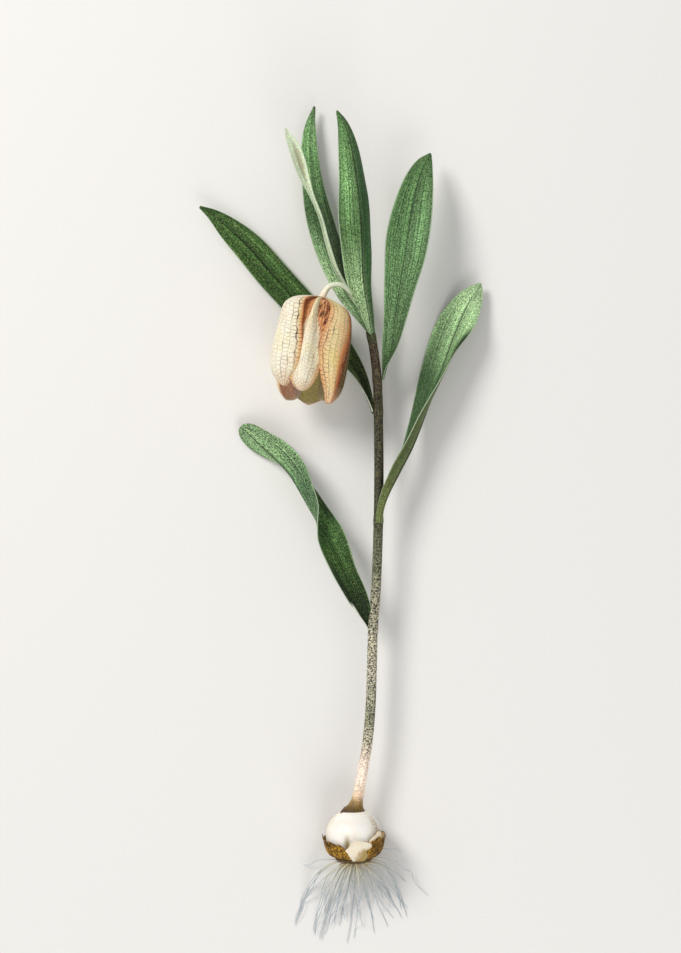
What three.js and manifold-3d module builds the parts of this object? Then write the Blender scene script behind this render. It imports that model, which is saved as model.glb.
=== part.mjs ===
// Fritillaria lifted whole, with its bulb and roots, and laid on a surface with its flower to the left.
// Millimetres. X runs to the right, Y from the bulb to the leaf tips, Z up from the surface.
// The origin is the spot under the bulb where the plant rests.

import * as THREE from 'three';
import Module from 'manifold-3d';

const wasm = await Module();
wasm.setup();

// Driving dimensions
const GAP = 0.3;
const BULB_RADIUS = 10.6;
const TUNIC_THICKNESS = 1.0;
const FLAP_THICKNESS = 0.9;
const REST_FLAT_DEPTH = 0.35;
const AXIS_HEIGHT = BULB_RADIUS + GAP + TUNIC_THICKNESS - REST_FLAT_DEPTH;
const BLADE_THICKNESS = 0.7;
const MIDRIB_THICKNESS = 0.4;
const TEPAL_THICKNESS = 0.7;
const STEM_RADIUS = 1.95;
const PEDICEL_RADIUS = 0.95;
const RECEPTACLE_RADIUS = 1.65;
const ROOT_RADIUS = 0.38;
const ROOT_COUNT = 28;
const ROOT_STEPS = 7;

const UP = new THREE.Vector3(0, 0, 1);
const toRadians = THREE.MathUtils.degToRad;
const lerp = THREE.MathUtils.lerp;

// Where each piece runs: centre lines from the plant outwards
const STEM_LINE = [
  [-0.1, 8.2, AXIS_HEIGHT], [0.7, 12, 11.8], [1.6, 16, 12], [3.2, 24.8, 12.1], [4.9, 35, 12.3],
  [6.1, 47.3, 12.4], [6.7, 63, 12.6], [7.1, 78, 12.8], [8.2, 93, 13], [8.9, 110, 13.2],
  [9.3, 130.5, 13.4], [9.2, 153, 13.5], [8.7, 171.7, 13.7], [7.4, 183, 13.9], [6.1, 190, 14.2],
];
const PEDICEL_LINE = [
  [5.9, 189.6, 14.2], [2.8, 197.6, 14.9], [-0.8, 202.4, 15.7], [-3.8, 205.7, 16.5],
  [-6.7, 207, 17.2], [-9.4, 206.2, 17.6],
];
const NECK = new THREE.Vector3(-11.9, 202.2, 17.8);
const FLOWER_LEAN = 9.5;
const FLOWER_LIFT = 11;

// Leaves: each section row holds share of length, half width, roll, left fold and right fold
const LEAVES = {
  leaf_top_front: {
    colour: 0x668a5c,
    line: [
      [6.7, 188.8, 16.6], [5.4, 198.3, 19.5], [4.4, 208.8, 22.8], [4.2, 219.3, 26], [3.6, 231.5, 29.6],
      [2.2, 243.3, 32.8], [-0.3, 256.2, 35.4], [-3.3, 264.5, 36.4], [-6.3, 269.4, 36.6],
    ],
    sections: [
      [0, 1.4, 178, 60, 60], [0.06, 2.9, 165, 58, 58], [0.14, 4.9, 150, 54, 50], [0.27, 7.8, 140, 48, 44],
      [0.5, 9.9, 134, 46, 42], [0.68, 8, 135, 42, 42], [0.84, 5.4, 138, 40, 40], [0.94, 2.8, 140, 30, 30],
      [1, 0.4, 140, 20, 20],
    ],
  },
  leaf_low_left: {
    colour: 0x55704a,
    line: [
      [5.1, 79.2, 12.8], [3.9, 85.3, 13.6], [0.6, 92.4, 14], [-3.4, 99.9, 14.4], [-6.7, 106.6, 14.6],
      [-10.1, 113, 14.5], [-14.8, 120.8, 13.6], [-19, 128.2, 12.2], [-23, 134.9, 10.8], [-26.4, 139.1, 9.8],
      [-30.1, 142.9, 8.8], [-36.4, 148.5, 6.2], [-39.4, 151.3, 4.6], [-42.9, 154.3, 3],
    ],
    sections: [
      [0, 0.8, -70, 55, 55], [0.06, 2, -40, 50, 50], [0.14, 3.2, -14, 42, 42], [0.25, 4.7, -9, 35, 35],
      [0.4, 6.6, -31, 38, 38], [0.47, 6.8, -52, 55, 55], [0.53, 6.9, -74, 68, 68], [0.62, 7.2, -95, 70, 70],
      [0.7, 7.6, -114, 68, 68], [0.8, 7.3, -134, 58, 55], [0.9, 5.2, -155, 37, 37], [0.96, 3, -165, 26, 26],
      [1, 0.6, -172, 18, 18],
    ],
  },
  leaf_mid_right: {
    colour: 0x5d7a4f,
    line: [
      [9.7, 118, 15.6], [10.6, 123, 15.9], [12.8, 128.6, 15.7], [16.4, 136, 14.6], [21.6, 146.2, 12.8],
      [24.7, 153.8, 11.4], [28.7, 164.4, 9], [33.3, 175.8, 6.35], [36.8, 185.4, 4.48], [40.6, 195.1, 3.25],
      [43.4, 200.9, 3.25], [47.9, 208.6, 4.4],
    ],
    sections: [
      [0, 1.6, 165, 60, 60], [0.06, 2.3, 140, 60, 60], [0.13, 3.7, 112, 58, 58], [0.23, 4.9, 97, 57, 57],
      [0.38, 5.8, 82, 53, 53],
      [0.5, 7.5, 66, 41, 41], [0.68, 9.3, 50, 30, 42], [0.8, 9, 34, 20, 30], [0.92, 5.4, 12, 16, 20],
      [1, 0.5, 0, 10, 10],
    ],
  },
  leaf_mid_left: {
    colour: 0x3f5c3c,
    line: [
      [6.7, 159.3, 13.3], [4.3, 166.5, 10.4], [1, 174.2, 6.4], [-3.4, 181.1, 3.4], [-9, 188.4, 1.7],
      [-15.9, 196, 1], [-23.1, 203.6, 0.8], [-30.4, 211.6, 0.8], [-39.4, 222, 1.3], [-47.3, 229.4, 2.6],
      [-53.1, 234.3, 4.2], [-58.2, 237.3, 6.2],
    ],
    sections: [
      [0, 1.7, -75, 55, 55], [0.1, 3, -50, 45, 45], [0.22, 4.4, -25, 35, 35], [0.4, 5.8, -5, 20, 20],
      [0.7, 6.2, 0, 14, 14], [0.86, 4.6, 0, 14, 14], [1, 0.5, 0, 10, 10],
    ],
  },
  leaf_top_right: {
    colour: 0x4f7049,
    line: [
      [11.1, 171.8, 13.4], [12.1, 175.8, 14.2], [13.6, 182.4, 15.4], [15.2, 193.6, 17.4], [16.9, 205.7, 19.2],
      [18.8, 217.2, 20], [20, 225.8, 19.6], [21.5, 234.5, 18.2], [23.3, 243.1, 15.8], [25.7, 250.8, 12.8],
      [28.8, 257.1, 9],
    ],
    sections: [
      [0, 0.7, 80, 70, 70], [0.05, 1.9, 60, 60, 60], [0.1, 2.9, 38, 54, 50], [0.17, 3.9, 18, 48, 40],
      [0.26, 4.7, 6, 40, 32], [0.4, 6.3, 0, 28, 25], [0.54, 8.1, 0, 26, 23], [0.64, 8.4, 0, 32, 22],
      [0.75, 7.5, 0, 40, 20], [0.85, 5.8, 0, 42, 20], [0.94, 3.1, 0, 34, 18], [1, 0.4, 0, 12, 12],
    ],
  },
  leaf_top_back: {
    colour: 0x4c7347,
    line: [
      [6, 189.8, 11.6], [1.9, 197.3, 10.6], [-2.2, 204.1, 9.9], [-6, 212.5, 9.2], [-9.2, 220.8, 8.5],
      [-12.2, 230.3, 7.6], [-14.5, 239.8, 6.8], [-16.2, 251.2, 5.8], [-16.8, 260.8, 5], [-16.4, 268.4, 4.4],
      [-14.9, 275.5, 4],
    ],
    sections: [
      [0, 1.2, 0, 55, 55], [0.12, 3.2, 0, 40, 40], [0.3, 4.6, 0, 30, 30], [0.5, 4.9, 0, 25, 25],
      [0.7, 3.9, 0, 22, 22], [0.88, 2.6, 0, 20, 20], [1, 0.4, 0, 12, 12],
    ],
  },
  leaf_top_slim: {
    colour: 0x9aaf86,
    line: [
      [3.4, 189.6, 13], [0.8, 199, 12.6], [-2.5, 205.4, 12.8], [-6.3, 213.5, 14.2], [-9.6, 222.7, 15.8],
      [-12.6, 232.7, 17.2], [-15.9, 240.4, 18.2], [-18.8, 247.4, 18.8], [-22, 256.9, 18.8],
      [-25.6, 265.2, 18],
    ],
    sections: [
      [0, 0.9, -40, 70, 70], [0.2, 1.2, -15, 105, 105], [0.45, 1.6, 0, 115, 115], [0.58, 2.1, 0, 110, 110],
      [0.68, 2.8, -8, 75, 75], [0.8, 3, -12, 38, 38], [0.92, 1.9, -16, 25, 25], [1, 0.4, -16, 15, 15],
    ],
  },
};
const LEAF_CREASE = 0.35;
const LEAF_STATIONS = 18;
const LEAF_HALF_COLUMNS = 3;

// Tepals: rows hold share of length, distance along the flower's axis, radius and half angle
const OUTER_TEPAL = {
  azimuths: [52, 172, -68],
  lengths: [1, 1, 0.93],
  widths: [0.96, 1, 1],
  rows: [
    [0, 0.3, 2.5, 36], [0.1, 1.4, 7.2, 33], [0.19, 3, 11.4, 34], [0.27, 5.8, 13.8, 37], [0.4, 12, 15.1, 41],
    [0.57, 20, 15.7, 43], [0.72, 27.5, 15.6, 43], [0.84, 33, 14.3, 37], [0.93, 36.6, 12.2, 27],
    [1, 39, 9.8, 8],
  ],
};
const INNER_TEPAL = {
  azimuths: [-8, 112, -128],
  lengths: [0.985, 1, 1],
  widths: [1, 1, 1],
  rows: [
    [0, 1.9, 2.8, 40], [0.11, 4.4, 6.6, 42], [0.2, 8, 9.8, 44], [0.36, 14.5, 12.6, 46], [0.55, 22, 13.9, 47],
    [0.72, 29, 14.2, 45], [0.84, 34, 12.6, 38], [0.93, 37.2, 10.7, 27], [1, 39.4, 8.8, 9],
  ],
};
const OUTER_EDGE_DROP = 0.16;
const INNER_FLANK = 0.69;
const INNER_RIB_SHARE = [0.3, 0.55];
const TEPAL_STATIONS = 12;
const TEPAL_COLUMNS = 6;
const TEPAL_CROWDING = 1.15;

// Helpers that build solids
const vector = (x, y, z) => new THREE.Vector3(x, y, z);
const lineThrough = (points) => new THREE.CatmullRomCurve3(points.map((point) => vector(...point)));

// Smooth reading of a table whose rows start with a share from 0 to 1
function readTable(rows, share) {
  const last = rows.length - 1;
  let row = 0;
  while (row < last - 1 && share > rows[row + 1][0]) row += 1;
  const slope = (index, column) => {
    const before = Math.max(index - 1, 0);
    const after = Math.min(index + 1, last);
    return (rows[after][column] - rows[before][column]) / (rows[after][0] - rows[before][0]);
  };
  const step = rows[row + 1][0] - rows[row][0];
  const t = THREE.MathUtils.clamp((share - rows[row][0]) / step, 0, 1);
  return rows[row].slice(1).map((start, index) => {
    const column = index + 1;
    const end = rows[row + 1][column];
    const bend = step * (t ** 3 - 2 * t * t + t) * slope(row, column);
    const unbend = step * (t ** 3 - t * t) * slope(row + 1, column);
    return start + (end - start) * (3 * t * t - 2 * t ** 3) + bend + unbend;
  });
}

function random(seed) {
  let state = seed;
  return () => {
    state = (state + 0x6d2b79f5) | 0;
    let mixed = Math.imul(state ^ (state >>> 15), 1 | state);
    mixed = (mixed + Math.imul(mixed ^ (mixed >>> 7), 61 | mixed)) ^ mixed;
    return ((mixed ^ (mixed >>> 14)) >>> 0) / 4294967296;
  };
}

// A closed mesh whose faces are turned outwards by the sign of its volume
function solid(points, faces) {
  let volume = 0;
  for (const [a, b, c] of faces) volume += points[a].dot(points[b].clone().cross(points[c]));
  const outward = volume > 0 ? faces : faces.map(([a, b, c]) => [a, c, b]);
  return new wasm.Manifold(new wasm.Mesh({
    numProp: 3,
    vertProperties: Float32Array.from(points.flatMap((point) => point.toArray())),
    triVerts: Uint32Array.from(outward.flat()),
  }));
}

function largestBody(shape) {
  return shape.decompose().reduce((best, body) => (body.volume() > best.volume() ? body : best));
}

// A tube through rings of equal count, closed by a fan at each end
function loft(rings, startPoint, endPoint) {
  const sides = rings[0].length;
  const points = [...rings.flat(), startPoint, endPoint];
  const start = points.length - 2;
  const end = points.length - 1;
  const faces = [];
  for (let side = 0; side < sides; side += 1) {
    const next = (side + 1) % sides;
    const top = (rings.length - 1) * sides;
    faces.push([start, next, side], [end, top + side, top + next]);
    for (let ring = 0; ring < rings.length - 1; ring += 1) {
      const low = ring * sides;
      const high = low + sides;
      faces.push([low + side, low + next, high + next], [low + side, high + next, high + side]);
    }
  }
  return solid(points, faces);
}

// A sheet of even grid points given thickness on both sides, split into triangles alike on both faces
function sheet(grid, thicknessAt) {
  const rows = grid.length;
  const columns = grid[0].length;
  const normalAt = (i, j) => {
    const across = grid[i][Math.min(j + 1, columns - 1)].clone().sub(grid[i][Math.max(j - 1, 0)]);
    const along = grid[Math.min(i + 1, rows - 1)][j].clone().sub(grid[Math.max(i - 1, 0)][j]);
    return across.cross(along).normalize();
  };
  const face = (side) => grid.map((row, i) => row.map((point, j) => (
    point.clone().addScaledVector(normalAt(i, j), side * thicknessAt(i, j, side))
  )));
  const points = [...face(1).flat(), ...face(-1).flat()];
  const back = rows * columns;
  const faces = [];
  for (let i = 0; i < rows - 1; i += 1) {
    for (let j = 0; j < columns - 1; j += 1) {
      const [a, b] = [i * columns + j, i * columns + j + 1];
      const [c, d] = [b + columns, a + columns];
      faces.push([a, b, c], [a, c, d], [back + a, back + c, back + b], [back + a, back + d, back + c]);
    }
  }
  const wall = (a, b) => faces.push([a, back + b, back + a], [a, b, back + b]);
  for (let i = 0; i < rows - 1; i += 1) {
    wall(i * columns, (i + 1) * columns);
    wall((i + 2) * columns - 1, (i + 1) * columns - 1);
  }
  for (let j = 0; j < columns - 1; j += 1) {
    wall(j + 1, j);
    wall((rows - 1) * columns + j, (rows - 1) * columns + j + 1);
  }
  return solid(points, faces);
}

// Position and directions on a line: along it, to the right of it and up from it
function frameOn(line, share) {
  const along = line.getTangentAt(share);
  const right = along.clone().cross(UP).normalize();
  return { centre: line.getPointAt(share), along, right, over: right.clone().cross(along) };
}

function ringOn(frame, radius, sides) {
  return Array.from({ length: sides }, (_, side) => {
    const angle = (2 * Math.PI * side) / sides;
    return frame.centre.clone()
      .addScaledVector(frame.right, radius * Math.cos(angle))
      .addScaledVector(frame.over, radius * Math.sin(angle));
  });
}

// A round rod along a line, with a radius for each share of its length and a domed end
function rod(points, radiusAt, stations, sides, grow = 0, crowding = 1) {
  const line = lineThrough(points);
  const rings = [];
  for (let station = 0; station <= stations; station += 1) {
    const share = (station / stations) ** crowding;
    rings.push(ringOn(frameOn(line, share), radiusAt(share) + grow, sides));
  }
  const first = frameOn(line, 0);
  const last = frameOn(line, 1);
  const dome = (radiusAt(1) + grow) * 0.6;
  const rim = { ...last, centre: last.centre.clone().addScaledVector(last.along, dome * 0.7) };
  rings.push(ringOn(rim, (radiusAt(1) + grow) * 0.7, sides));
  const tail = first.centre.addScaledVector(first.along, -grow);
  return loft(rings, tail, last.centre.addScaledVector(last.along, dome));
}

// Bulb: a squat round body on the line of Y, wider than it is long
const BULB_PROFILE = [
  [-7.3, 4.6], [-6.6, 7], [-4.8, 9.2], [-1.8, 10.3], [1.6, BULB_RADIUS], [4.8, 9.8], [7.5, 8], [9.5, 5.6],
  [10.5, 2.8],
];
const BULB_BASE = -7.6;
const BULB_TOP = 10.9;
const BULB_SIDES = 24;
const bulbTable = BULB_PROFILE.map(([y, radius]) => [(y - BULB_BASE) / (BULB_TOP - BULB_BASE), radius]);

function bulbRadius(y) {
  return readTable(bulbTable, (y - BULB_BASE) / (BULB_TOP - BULB_BASE))[0];
}

// A point round the bulb's line: turn 0 faces up, and a positive turn goes to the right
function bulbPoint(turn, y, radius) {
  return vector(radius * Math.sin(toRadians(turn)), y, AXIS_HEIGHT + radius * Math.cos(toRadians(turn)));
}

// A point off the bulb's surface, set out square to it
function bulbSurface(turn, y, outset) {
  const slope = (bulbRadius(y + 0.1) - bulbRadius(y - 0.1)) / 0.2;
  const shift = outset / Math.hypot(1, slope);
  return bulbPoint(turn, y - slope * shift, bulbRadius(y) + shift);
}

function bulb(grow = 0) {
  const rings = BULB_PROFILE.map(([y]) => Array.from({ length: BULB_SIDES }, (_, side) => (
    bulbSurface((360 * side) / BULB_SIDES, y, grow)
  )));
  return loft(rings, bulbPoint(0, BULB_BASE - grow, 0), bulbPoint(0, BULB_TOP + grow, 0));
}

// Corners shared between the faces of a plain box
function mergedFaces(geometry) {
  const points = [];
  const position = geometry.getAttribute('position');
  const numbers = Array.from({ length: position.count }, (_, index) => {
    const point = new THREE.Vector3().fromBufferAttribute(position, index);
    const known = points.findIndex((other) => other.distanceTo(point) < 1e-6);
    if (known >= 0) return known;
    return points.push(point) - 1;
  });
  const index = geometry.getIndex();
  const faces = [];
  for (let i = 0; i < index.count; i += 3) {
    faces.push([numbers[index.getX(i)], numbers[index.getX(i + 1)], numbers[index.getX(i + 2)]]);
  }
  return [points, faces];
}

// A block that keeps one side of a plane through the bulb's line, turned round it
function halfSpace(turn, offset) {
  const size = 60;
  const outward = bulbPoint(turn, 0, 1).sub(bulbPoint(turn, 0, 0));
  const block = new THREE.BoxGeometry(size, size, size);
  const place = new THREE.Matrix4().makeRotationY(toRadians(turn));
  place.setPosition(bulbPoint(0, 0, 0).addScaledVector(outward, offset + size / 2));
  block.applyMatrix4(place);
  return solid(...mergedFaces(block));
}

const CLEFT_TURN = 18;
const CLEFT_WIDTH = 0.4;

function bulbScale(turn) {
  return largestBody(bulb().intersect(halfSpace(turn, CLEFT_WIDTH / 2)));
}

// A torn piece of the bulb's coat between two edges, each given as distance along Y and its two end turns
function coatPiece({ low, high, ragged, thickness, seed }) {
  const draw = random(seed);
  const across = 10;
  const rise = 5;
  const grid = Array.from({ length: across + 1 }, (_, i) => {
    const top = high[0] - ragged * draw();
    return Array.from({ length: rise + 1 }, (_, j) => {
      const turn = lerp(lerp(low[1], low[2], i / across), lerp(high[1], high[2], i / across), j / rise);
      return bulbSurface(turn, lerp(low[0], top, j / rise), GAP + thickness / 2);
    });
  });
  return sheet(grid, () => thickness / 2);
}

const floorCut = () => {
  const block = new THREE.BoxGeometry(80, 80, 40);
  block.translate(0, 0, -20);
  return solid(...mergedFaces(block));
};

// Roots: from all over the basal plate, fanned out, then settling to one side's lean and down
const PLATE_PROFILE = [[-7.9, 4.6], [-8.3, 5.6], [-8.8, 5.8], [-9.4, 4.8], [-9.8, 2.6]];
const ROOT_SPREAD = 5.2;
const ROOT_LENGTH = { left: [22, 39], right: [16, 33] };
const ROOT_LEAN = { left: [-24, -7], right: [2, 40] };
const ROOT_SETTLING = { left: [0.22, 0.42], right: [0.16, 0.4] };

function rootLine(index, draw) {
  const spread = Math.sqrt((index + 0.5) / ROOT_COUNT);
  const start = bulbPoint(137.5 * index, -8.9, ROOT_SPREAD * spread);
  const side = start.x / ROOT_SPREAD;
  const hand = side < 0.12 ? 'left' : 'right';
  const reach = lerp(...ROOT_LENGTH[hand], draw()) / ROOT_STEPS;
  const lean = toRadians(lerp(...ROOT_LEAN[hand], draw()));
  const settle = lerp(...ROOT_SETTLING[hand], draw());
  let fan = toRadians(THREE.MathUtils.clamp(lerp(76, 112, draw()) * side, -80, 80));
  const points = [start];
  for (let step = 1; step <= ROOT_STEPS; step += 1) {
    const last = points[step - 1];
    const drop = reach * lerp(0.1, 1.1, step / ROOT_STEPS);
    const height = Math.max(ROOT_RADIUS + 0.08, last.z - drop);
    points.push(vector(last.x + reach * Math.sin(fan), last.y - reach * Math.cos(fan), height));
    fan = lerp(fan, lean, settle);
  }
  return points.map((point) => point.toArray());
}

function roots() {
  const draw = random(7);
  const rings = PLATE_PROFILE.map(([y, radius]) => (
    Array.from({ length: 16 }, (_, side) => bulbPoint((360 * side) / 16, y, radius))
  ));
  let mat = loft(rings, bulbPoint(0, PLATE_PROFILE[0][0], 0), bulbPoint(0, -9.9, 0));
  for (let index = 0; index < ROOT_COUNT; index += 1) {
    mat = mat.add(rod(rootLine(index, draw), (share) => lerp(ROOT_RADIUS, 0.24, share), ROOT_STEPS, 4));
  }
  return largestBody(mat);
}

// Stem and the flower's stalk
const stemRadius = (share) => readTable([
  [0, 5.4], [0.006, 4.9], [0.013, 4.2], [0.019, 3.1], [0.027, 2.5], [0.04, 2.1], [0.1, STEM_RADIUS],
  [0.9, 1.72], [1, 1.66],
], share)[0];

function stem(grow = 0) {
  return rod(STEM_LINE, stemRadius, 28, 10, grow, 1.5);
}

const flowerAxis = vector(
  -Math.sin(toRadians(FLOWER_LEAN)) * Math.cos(toRadians(FLOWER_LIFT)),
  -Math.cos(toRadians(FLOWER_LEAN)) * Math.cos(toRadians(FLOWER_LIFT)),
  Math.sin(toRadians(FLOWER_LIFT)),
);
const flowerFront = UP.clone().addScaledVector(flowerAxis, -UP.dot(flowerAxis)).normalize();
const flowerRight = flowerFront.clone().cross(flowerAxis);

// A point in the flower: distance along its axis from the neck, azimuth from the front, and radius
function flowerPoint(distance, azimuth, radius) {
  return NECK.clone()
    .addScaledVector(flowerAxis, distance)
    .addScaledVector(flowerFront, radius * Math.cos(toRadians(azimuth)))
    .addScaledVector(flowerRight, radius * Math.sin(toRadians(azimuth)));
}

function pedicel(grow = 0) {
  const points = [...PEDICEL_LINE, NECK.toArray(), flowerPoint(0.6, 0, 0).toArray()];
  const radius = (share) => readTable([
    [0, 1.15], [0.3, PEDICEL_RADIUS], [0.8, PEDICEL_RADIUS], [0.93, 1.2], [1, RECEPTACLE_RADIUS],
  ], share)[0];
  return rod(points, radius, 20, 8, grow);
}

// Leaf blade: each half leaves the midrib at part of its fold and curls up to the whole of it
function leaf({ line, sections }, grow = 0) {
  const path = lineThrough(line);
  const grid = [];
  for (let station = 0; station <= LEAF_STATIONS; station += 1) {
    const share = station / LEAF_STATIONS;
    const { centre, along, right, over } = frameOn(path, share);
    const end = grow * (Number(share === 1) - Number(share === 0));
    centre.addScaledVector(along, end);
    const [halfWidth, roll, leftFold, rightFold] = readTable(sections, share);
    const turned = toRadians(roll);
    const across = right.clone().multiplyScalar(Math.cos(turned)).addScaledVector(over, Math.sin(turned));
    const rise = over.clone().multiplyScalar(Math.cos(turned)).addScaledVector(right, -Math.sin(turned));
    const row = [];
    for (let column = -LEAF_HALF_COLUMNS; column <= LEAF_HALF_COLUMNS; column += 1) {
      const fold = toRadians(Math.max(column < 0 ? leftFold : rightFold, 2));
      const out = Math.abs(column) / LEAF_HALF_COLUMNS;
      const bend = fold * (1 - LEAF_CREASE);
      const reach = (halfWidth + grow) / bend;
      const start = fold * LEAF_CREASE;
      const here = start + bend * out;
      row.push(centre.clone()
        .addScaledVector(across, Math.sign(column) * reach * (Math.sin(here) - Math.sin(start)))
        .addScaledVector(rise, reach * (Math.cos(start) - Math.cos(here))));
    }
    grid.push(row);
  }
  const back = BLADE_THICKNESS / 2;
  return sheet(grid, (i, j, side) => {
    const rib = j === LEAF_HALF_COLUMNS && side < 0 ? MIDRIB_THICKNESS : 0;
    return back + grow + rib * Math.sin((Math.PI * (i + 1)) / (LEAF_STATIONS + 2));
  });
}

// Tepals: outer ones are rounded shells, inner ones have a raised rib between lower flanks
const outerDrop = (u) => 1 - OUTER_EDGE_DROP * u * u;
function innerDrop(u, share) {
  const ribShare = lerp(...INNER_RIB_SHARE, THREE.MathUtils.smoothstep(share, 0.1, 0.5));
  return INNER_FLANK + (1 - INNER_FLANK) * Math.cos((Math.PI / 2) * Math.min(1, Math.abs(u) / ribShare)) ** 2;
}

function tepal({ azimuths, lengths, widths, rows }, index, dropAt) {
  const grid = [];
  for (let station = 0; station <= TEPAL_STATIONS; station += 1) {
    const share = 1 - (1 - station / TEPAL_STATIONS) ** TEPAL_CROWDING;
    const [distance, radius, halfAngle] = readTable(rows, share);
    const row = [];
    for (let column = 0; column <= TEPAL_COLUMNS; column += 1) {
      const u = (2 * column) / TEPAL_COLUMNS - 1;
      const azimuth = azimuths[index] + u * halfAngle;
      row.push(flowerPoint(distance * lengths[index], azimuth, radius * widths[index] * dropAt(u, share)));
    }
    grid.push(row);
  }
  return sheet(grid, () => TEPAL_THICKNESS / 2);
}

// A straight rod inside the flower between two flower points
function flowerRod(from, to, startRadius, endRadius, sides) {
  const middle = from.map((value, index) => (value + to[index]) / 2);
  const points = [from, middle, to].map((place) => flowerPoint(...place).toArray());
  return rod(points, (share) => lerp(startRadius, endRadius, share), 3, sides);
}

// Stamens: six filaments with long anthers on one small ring under the ovary
const RING_BASE = 2.1;
const RING_TOP = 2.9;
const RING_RADIUS = 1.25;

function stamens() {
  const sides = 12;
  const ringOf = (distance, radius) => Array.from({ length: sides }, (_, side) => (
    flowerPoint(distance, (360 * side) / sides, radius)
  ));
  const rings = [ringOf(RING_BASE, RING_RADIUS), ringOf(RING_TOP, RING_RADIUS)];
  let body = loft(rings, flowerPoint(RING_BASE, 0, 0), flowerPoint(RING_TOP, 0, 0));
  for (let index = 0; index < 6; index += 1) {
    const azimuth = 60 * index + 22;
    body = body.add(flowerRod([2.5, azimuth, 0.8], [17, azimuth, 4.6], 0.45, 0.35, 5));
    body = body.add(flowerRod([16, azimuth, 4.4], [23.5, azimuth, 4.9], 0.85, 0.7, 6));
  }
  return largestBody(body);
}

// Pistil: ovary, style and three spreading stigma arms
const PISTIL_PROFILE = [[5.2, 0.55], [6.4, 0.85], [12, 0.95], [13.4, 0.6], [21, 0.6]];
const STIGMA_START = 20.2;
const STIGMA_END = 27;

function pistil() {
  const rings = PISTIL_PROFILE.map(([distance, radius]) => Array.from({ length: 8 }, (_, side) => (
    flowerPoint(distance, 45 * side, radius)
  )));
  const [low, high] = [PISTIL_PROFILE[0], PISTIL_PROFILE.at(-1)].map(([distance]) => distance);
  let body = loft(rings, flowerPoint(low, 0, 0), flowerPoint(high, 0, 0));
  for (const azimuth of [0, 120, 240]) {
    body = body.add(flowerRod([STIGMA_START, azimuth, 0.1], [STIGMA_END, azimuth, 2.6], 0.5, 0.4, 5));
  }
  return largestBody(body);
}

// Assembly
const plant = new THREE.Group();

function place(name, shape, colour, roughness) {
  const mesh = shape.getMesh();
  const geometry = new THREE.BufferGeometry();
  geometry.setAttribute('position', new THREE.BufferAttribute(new Float32Array(mesh.vertProperties), 3));
  geometry.setIndex(new THREE.BufferAttribute(new Uint32Array(mesh.triVerts), 1));
  geometry.computeVertexNormals();
  const material = new THREE.MeshStandardMaterial({ color: colour, roughness, metalness: 0 });
  const part = new THREE.Mesh(geometry, material);
  part.name = name;
  plant.add(part);
}

place('bulb_scale_front', bulbScale(CLEFT_TURN), 0xf1e9d8, 0.5);
place('bulb_scale_rear', bulbScale(CLEFT_TURN + 180), 0xeadfc8, 0.5);
place('tunic_left', coatPiece({
  low: [-6.9, -125, -6], high: [-0.2, -122, -16], ragged: 1.2, thickness: TUNIC_THICKNESS, seed: 3,
}), 0x8a6a3c, 0.8);
place('tunic_right', coatPiece({
  low: [-6.9, 29, 125], high: [3.4, 36, 120], ragged: 1.8, thickness: TUNIC_THICKNESS, seed: 5,
}), 0x8f6d3c, 0.8);
place('tunic_back', coatPiece({
  low: [-6.9, 129, 231], high: [4.6, 124, 233], ragged: 1.8, thickness: TUNIC_THICKNESS, seed: 9,
}).subtract(floorCut()), 0x7c5c33, 0.8);
place('bulb_flap', coatPiece({
  low: [-6.7, -2, 24], high: [1.5, -9, 29], ragged: 2.2, thickness: FLAP_THICKNESS, seed: 11,
}), 0xf6f0e2, 0.5);
place('roots', roots(), 0xcfd8dc, 0.6);
place('stem', largestBody(stem().subtract(bulb(GAP))), 0x6f6258, 0.6);
place('pedicel', largestBody(pedicel().subtract(stem(GAP))), 0xb9c497, 0.5);

const cleared = [stem(GAP), pedicel(GAP)];
for (const [name, shape] of Object.entries(LEAVES)) {
  const blade = cleared.reduce((rest, neighbour) => rest.subtract(neighbour), leaf(shape));
  place(name, largestBody(blade), shape.colour, 0.55);
  cleared.push(leaf(shape, GAP));
}

for (let index = 0; index < 3; index += 1) {
  place(`tepal_outer_${index + 1}`, tepal(OUTER_TEPAL, index, outerDrop), 0xe9cf9b, 0.5);
  place(`tepal_inner_${index + 1}`, tepal(INNER_TEPAL, index, innerDrop), 0xdfae8c, 0.5);
}
place('stamens', stamens(), 0xe6d58a, 0.6);
place('pistil', pistil(), 0xc9cf8c, 0.5);

export default plant;
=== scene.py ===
import math

import bpy
import numpy as np
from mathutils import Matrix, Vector


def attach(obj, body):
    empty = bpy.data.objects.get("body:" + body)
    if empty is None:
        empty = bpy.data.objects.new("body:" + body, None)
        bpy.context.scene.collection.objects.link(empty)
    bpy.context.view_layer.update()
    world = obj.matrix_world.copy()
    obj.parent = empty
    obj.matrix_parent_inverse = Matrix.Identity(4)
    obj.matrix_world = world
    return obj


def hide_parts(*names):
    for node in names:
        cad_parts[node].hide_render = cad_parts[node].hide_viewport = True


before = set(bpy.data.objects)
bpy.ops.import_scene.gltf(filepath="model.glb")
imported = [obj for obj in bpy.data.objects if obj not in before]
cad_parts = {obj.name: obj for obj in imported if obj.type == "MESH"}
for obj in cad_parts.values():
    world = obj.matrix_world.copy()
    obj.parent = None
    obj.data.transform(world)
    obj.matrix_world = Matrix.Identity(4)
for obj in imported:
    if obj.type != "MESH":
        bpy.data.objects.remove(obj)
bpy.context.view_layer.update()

MM = 0.001
UP = np.array([0.0, 0.0, 1.0])

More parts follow.
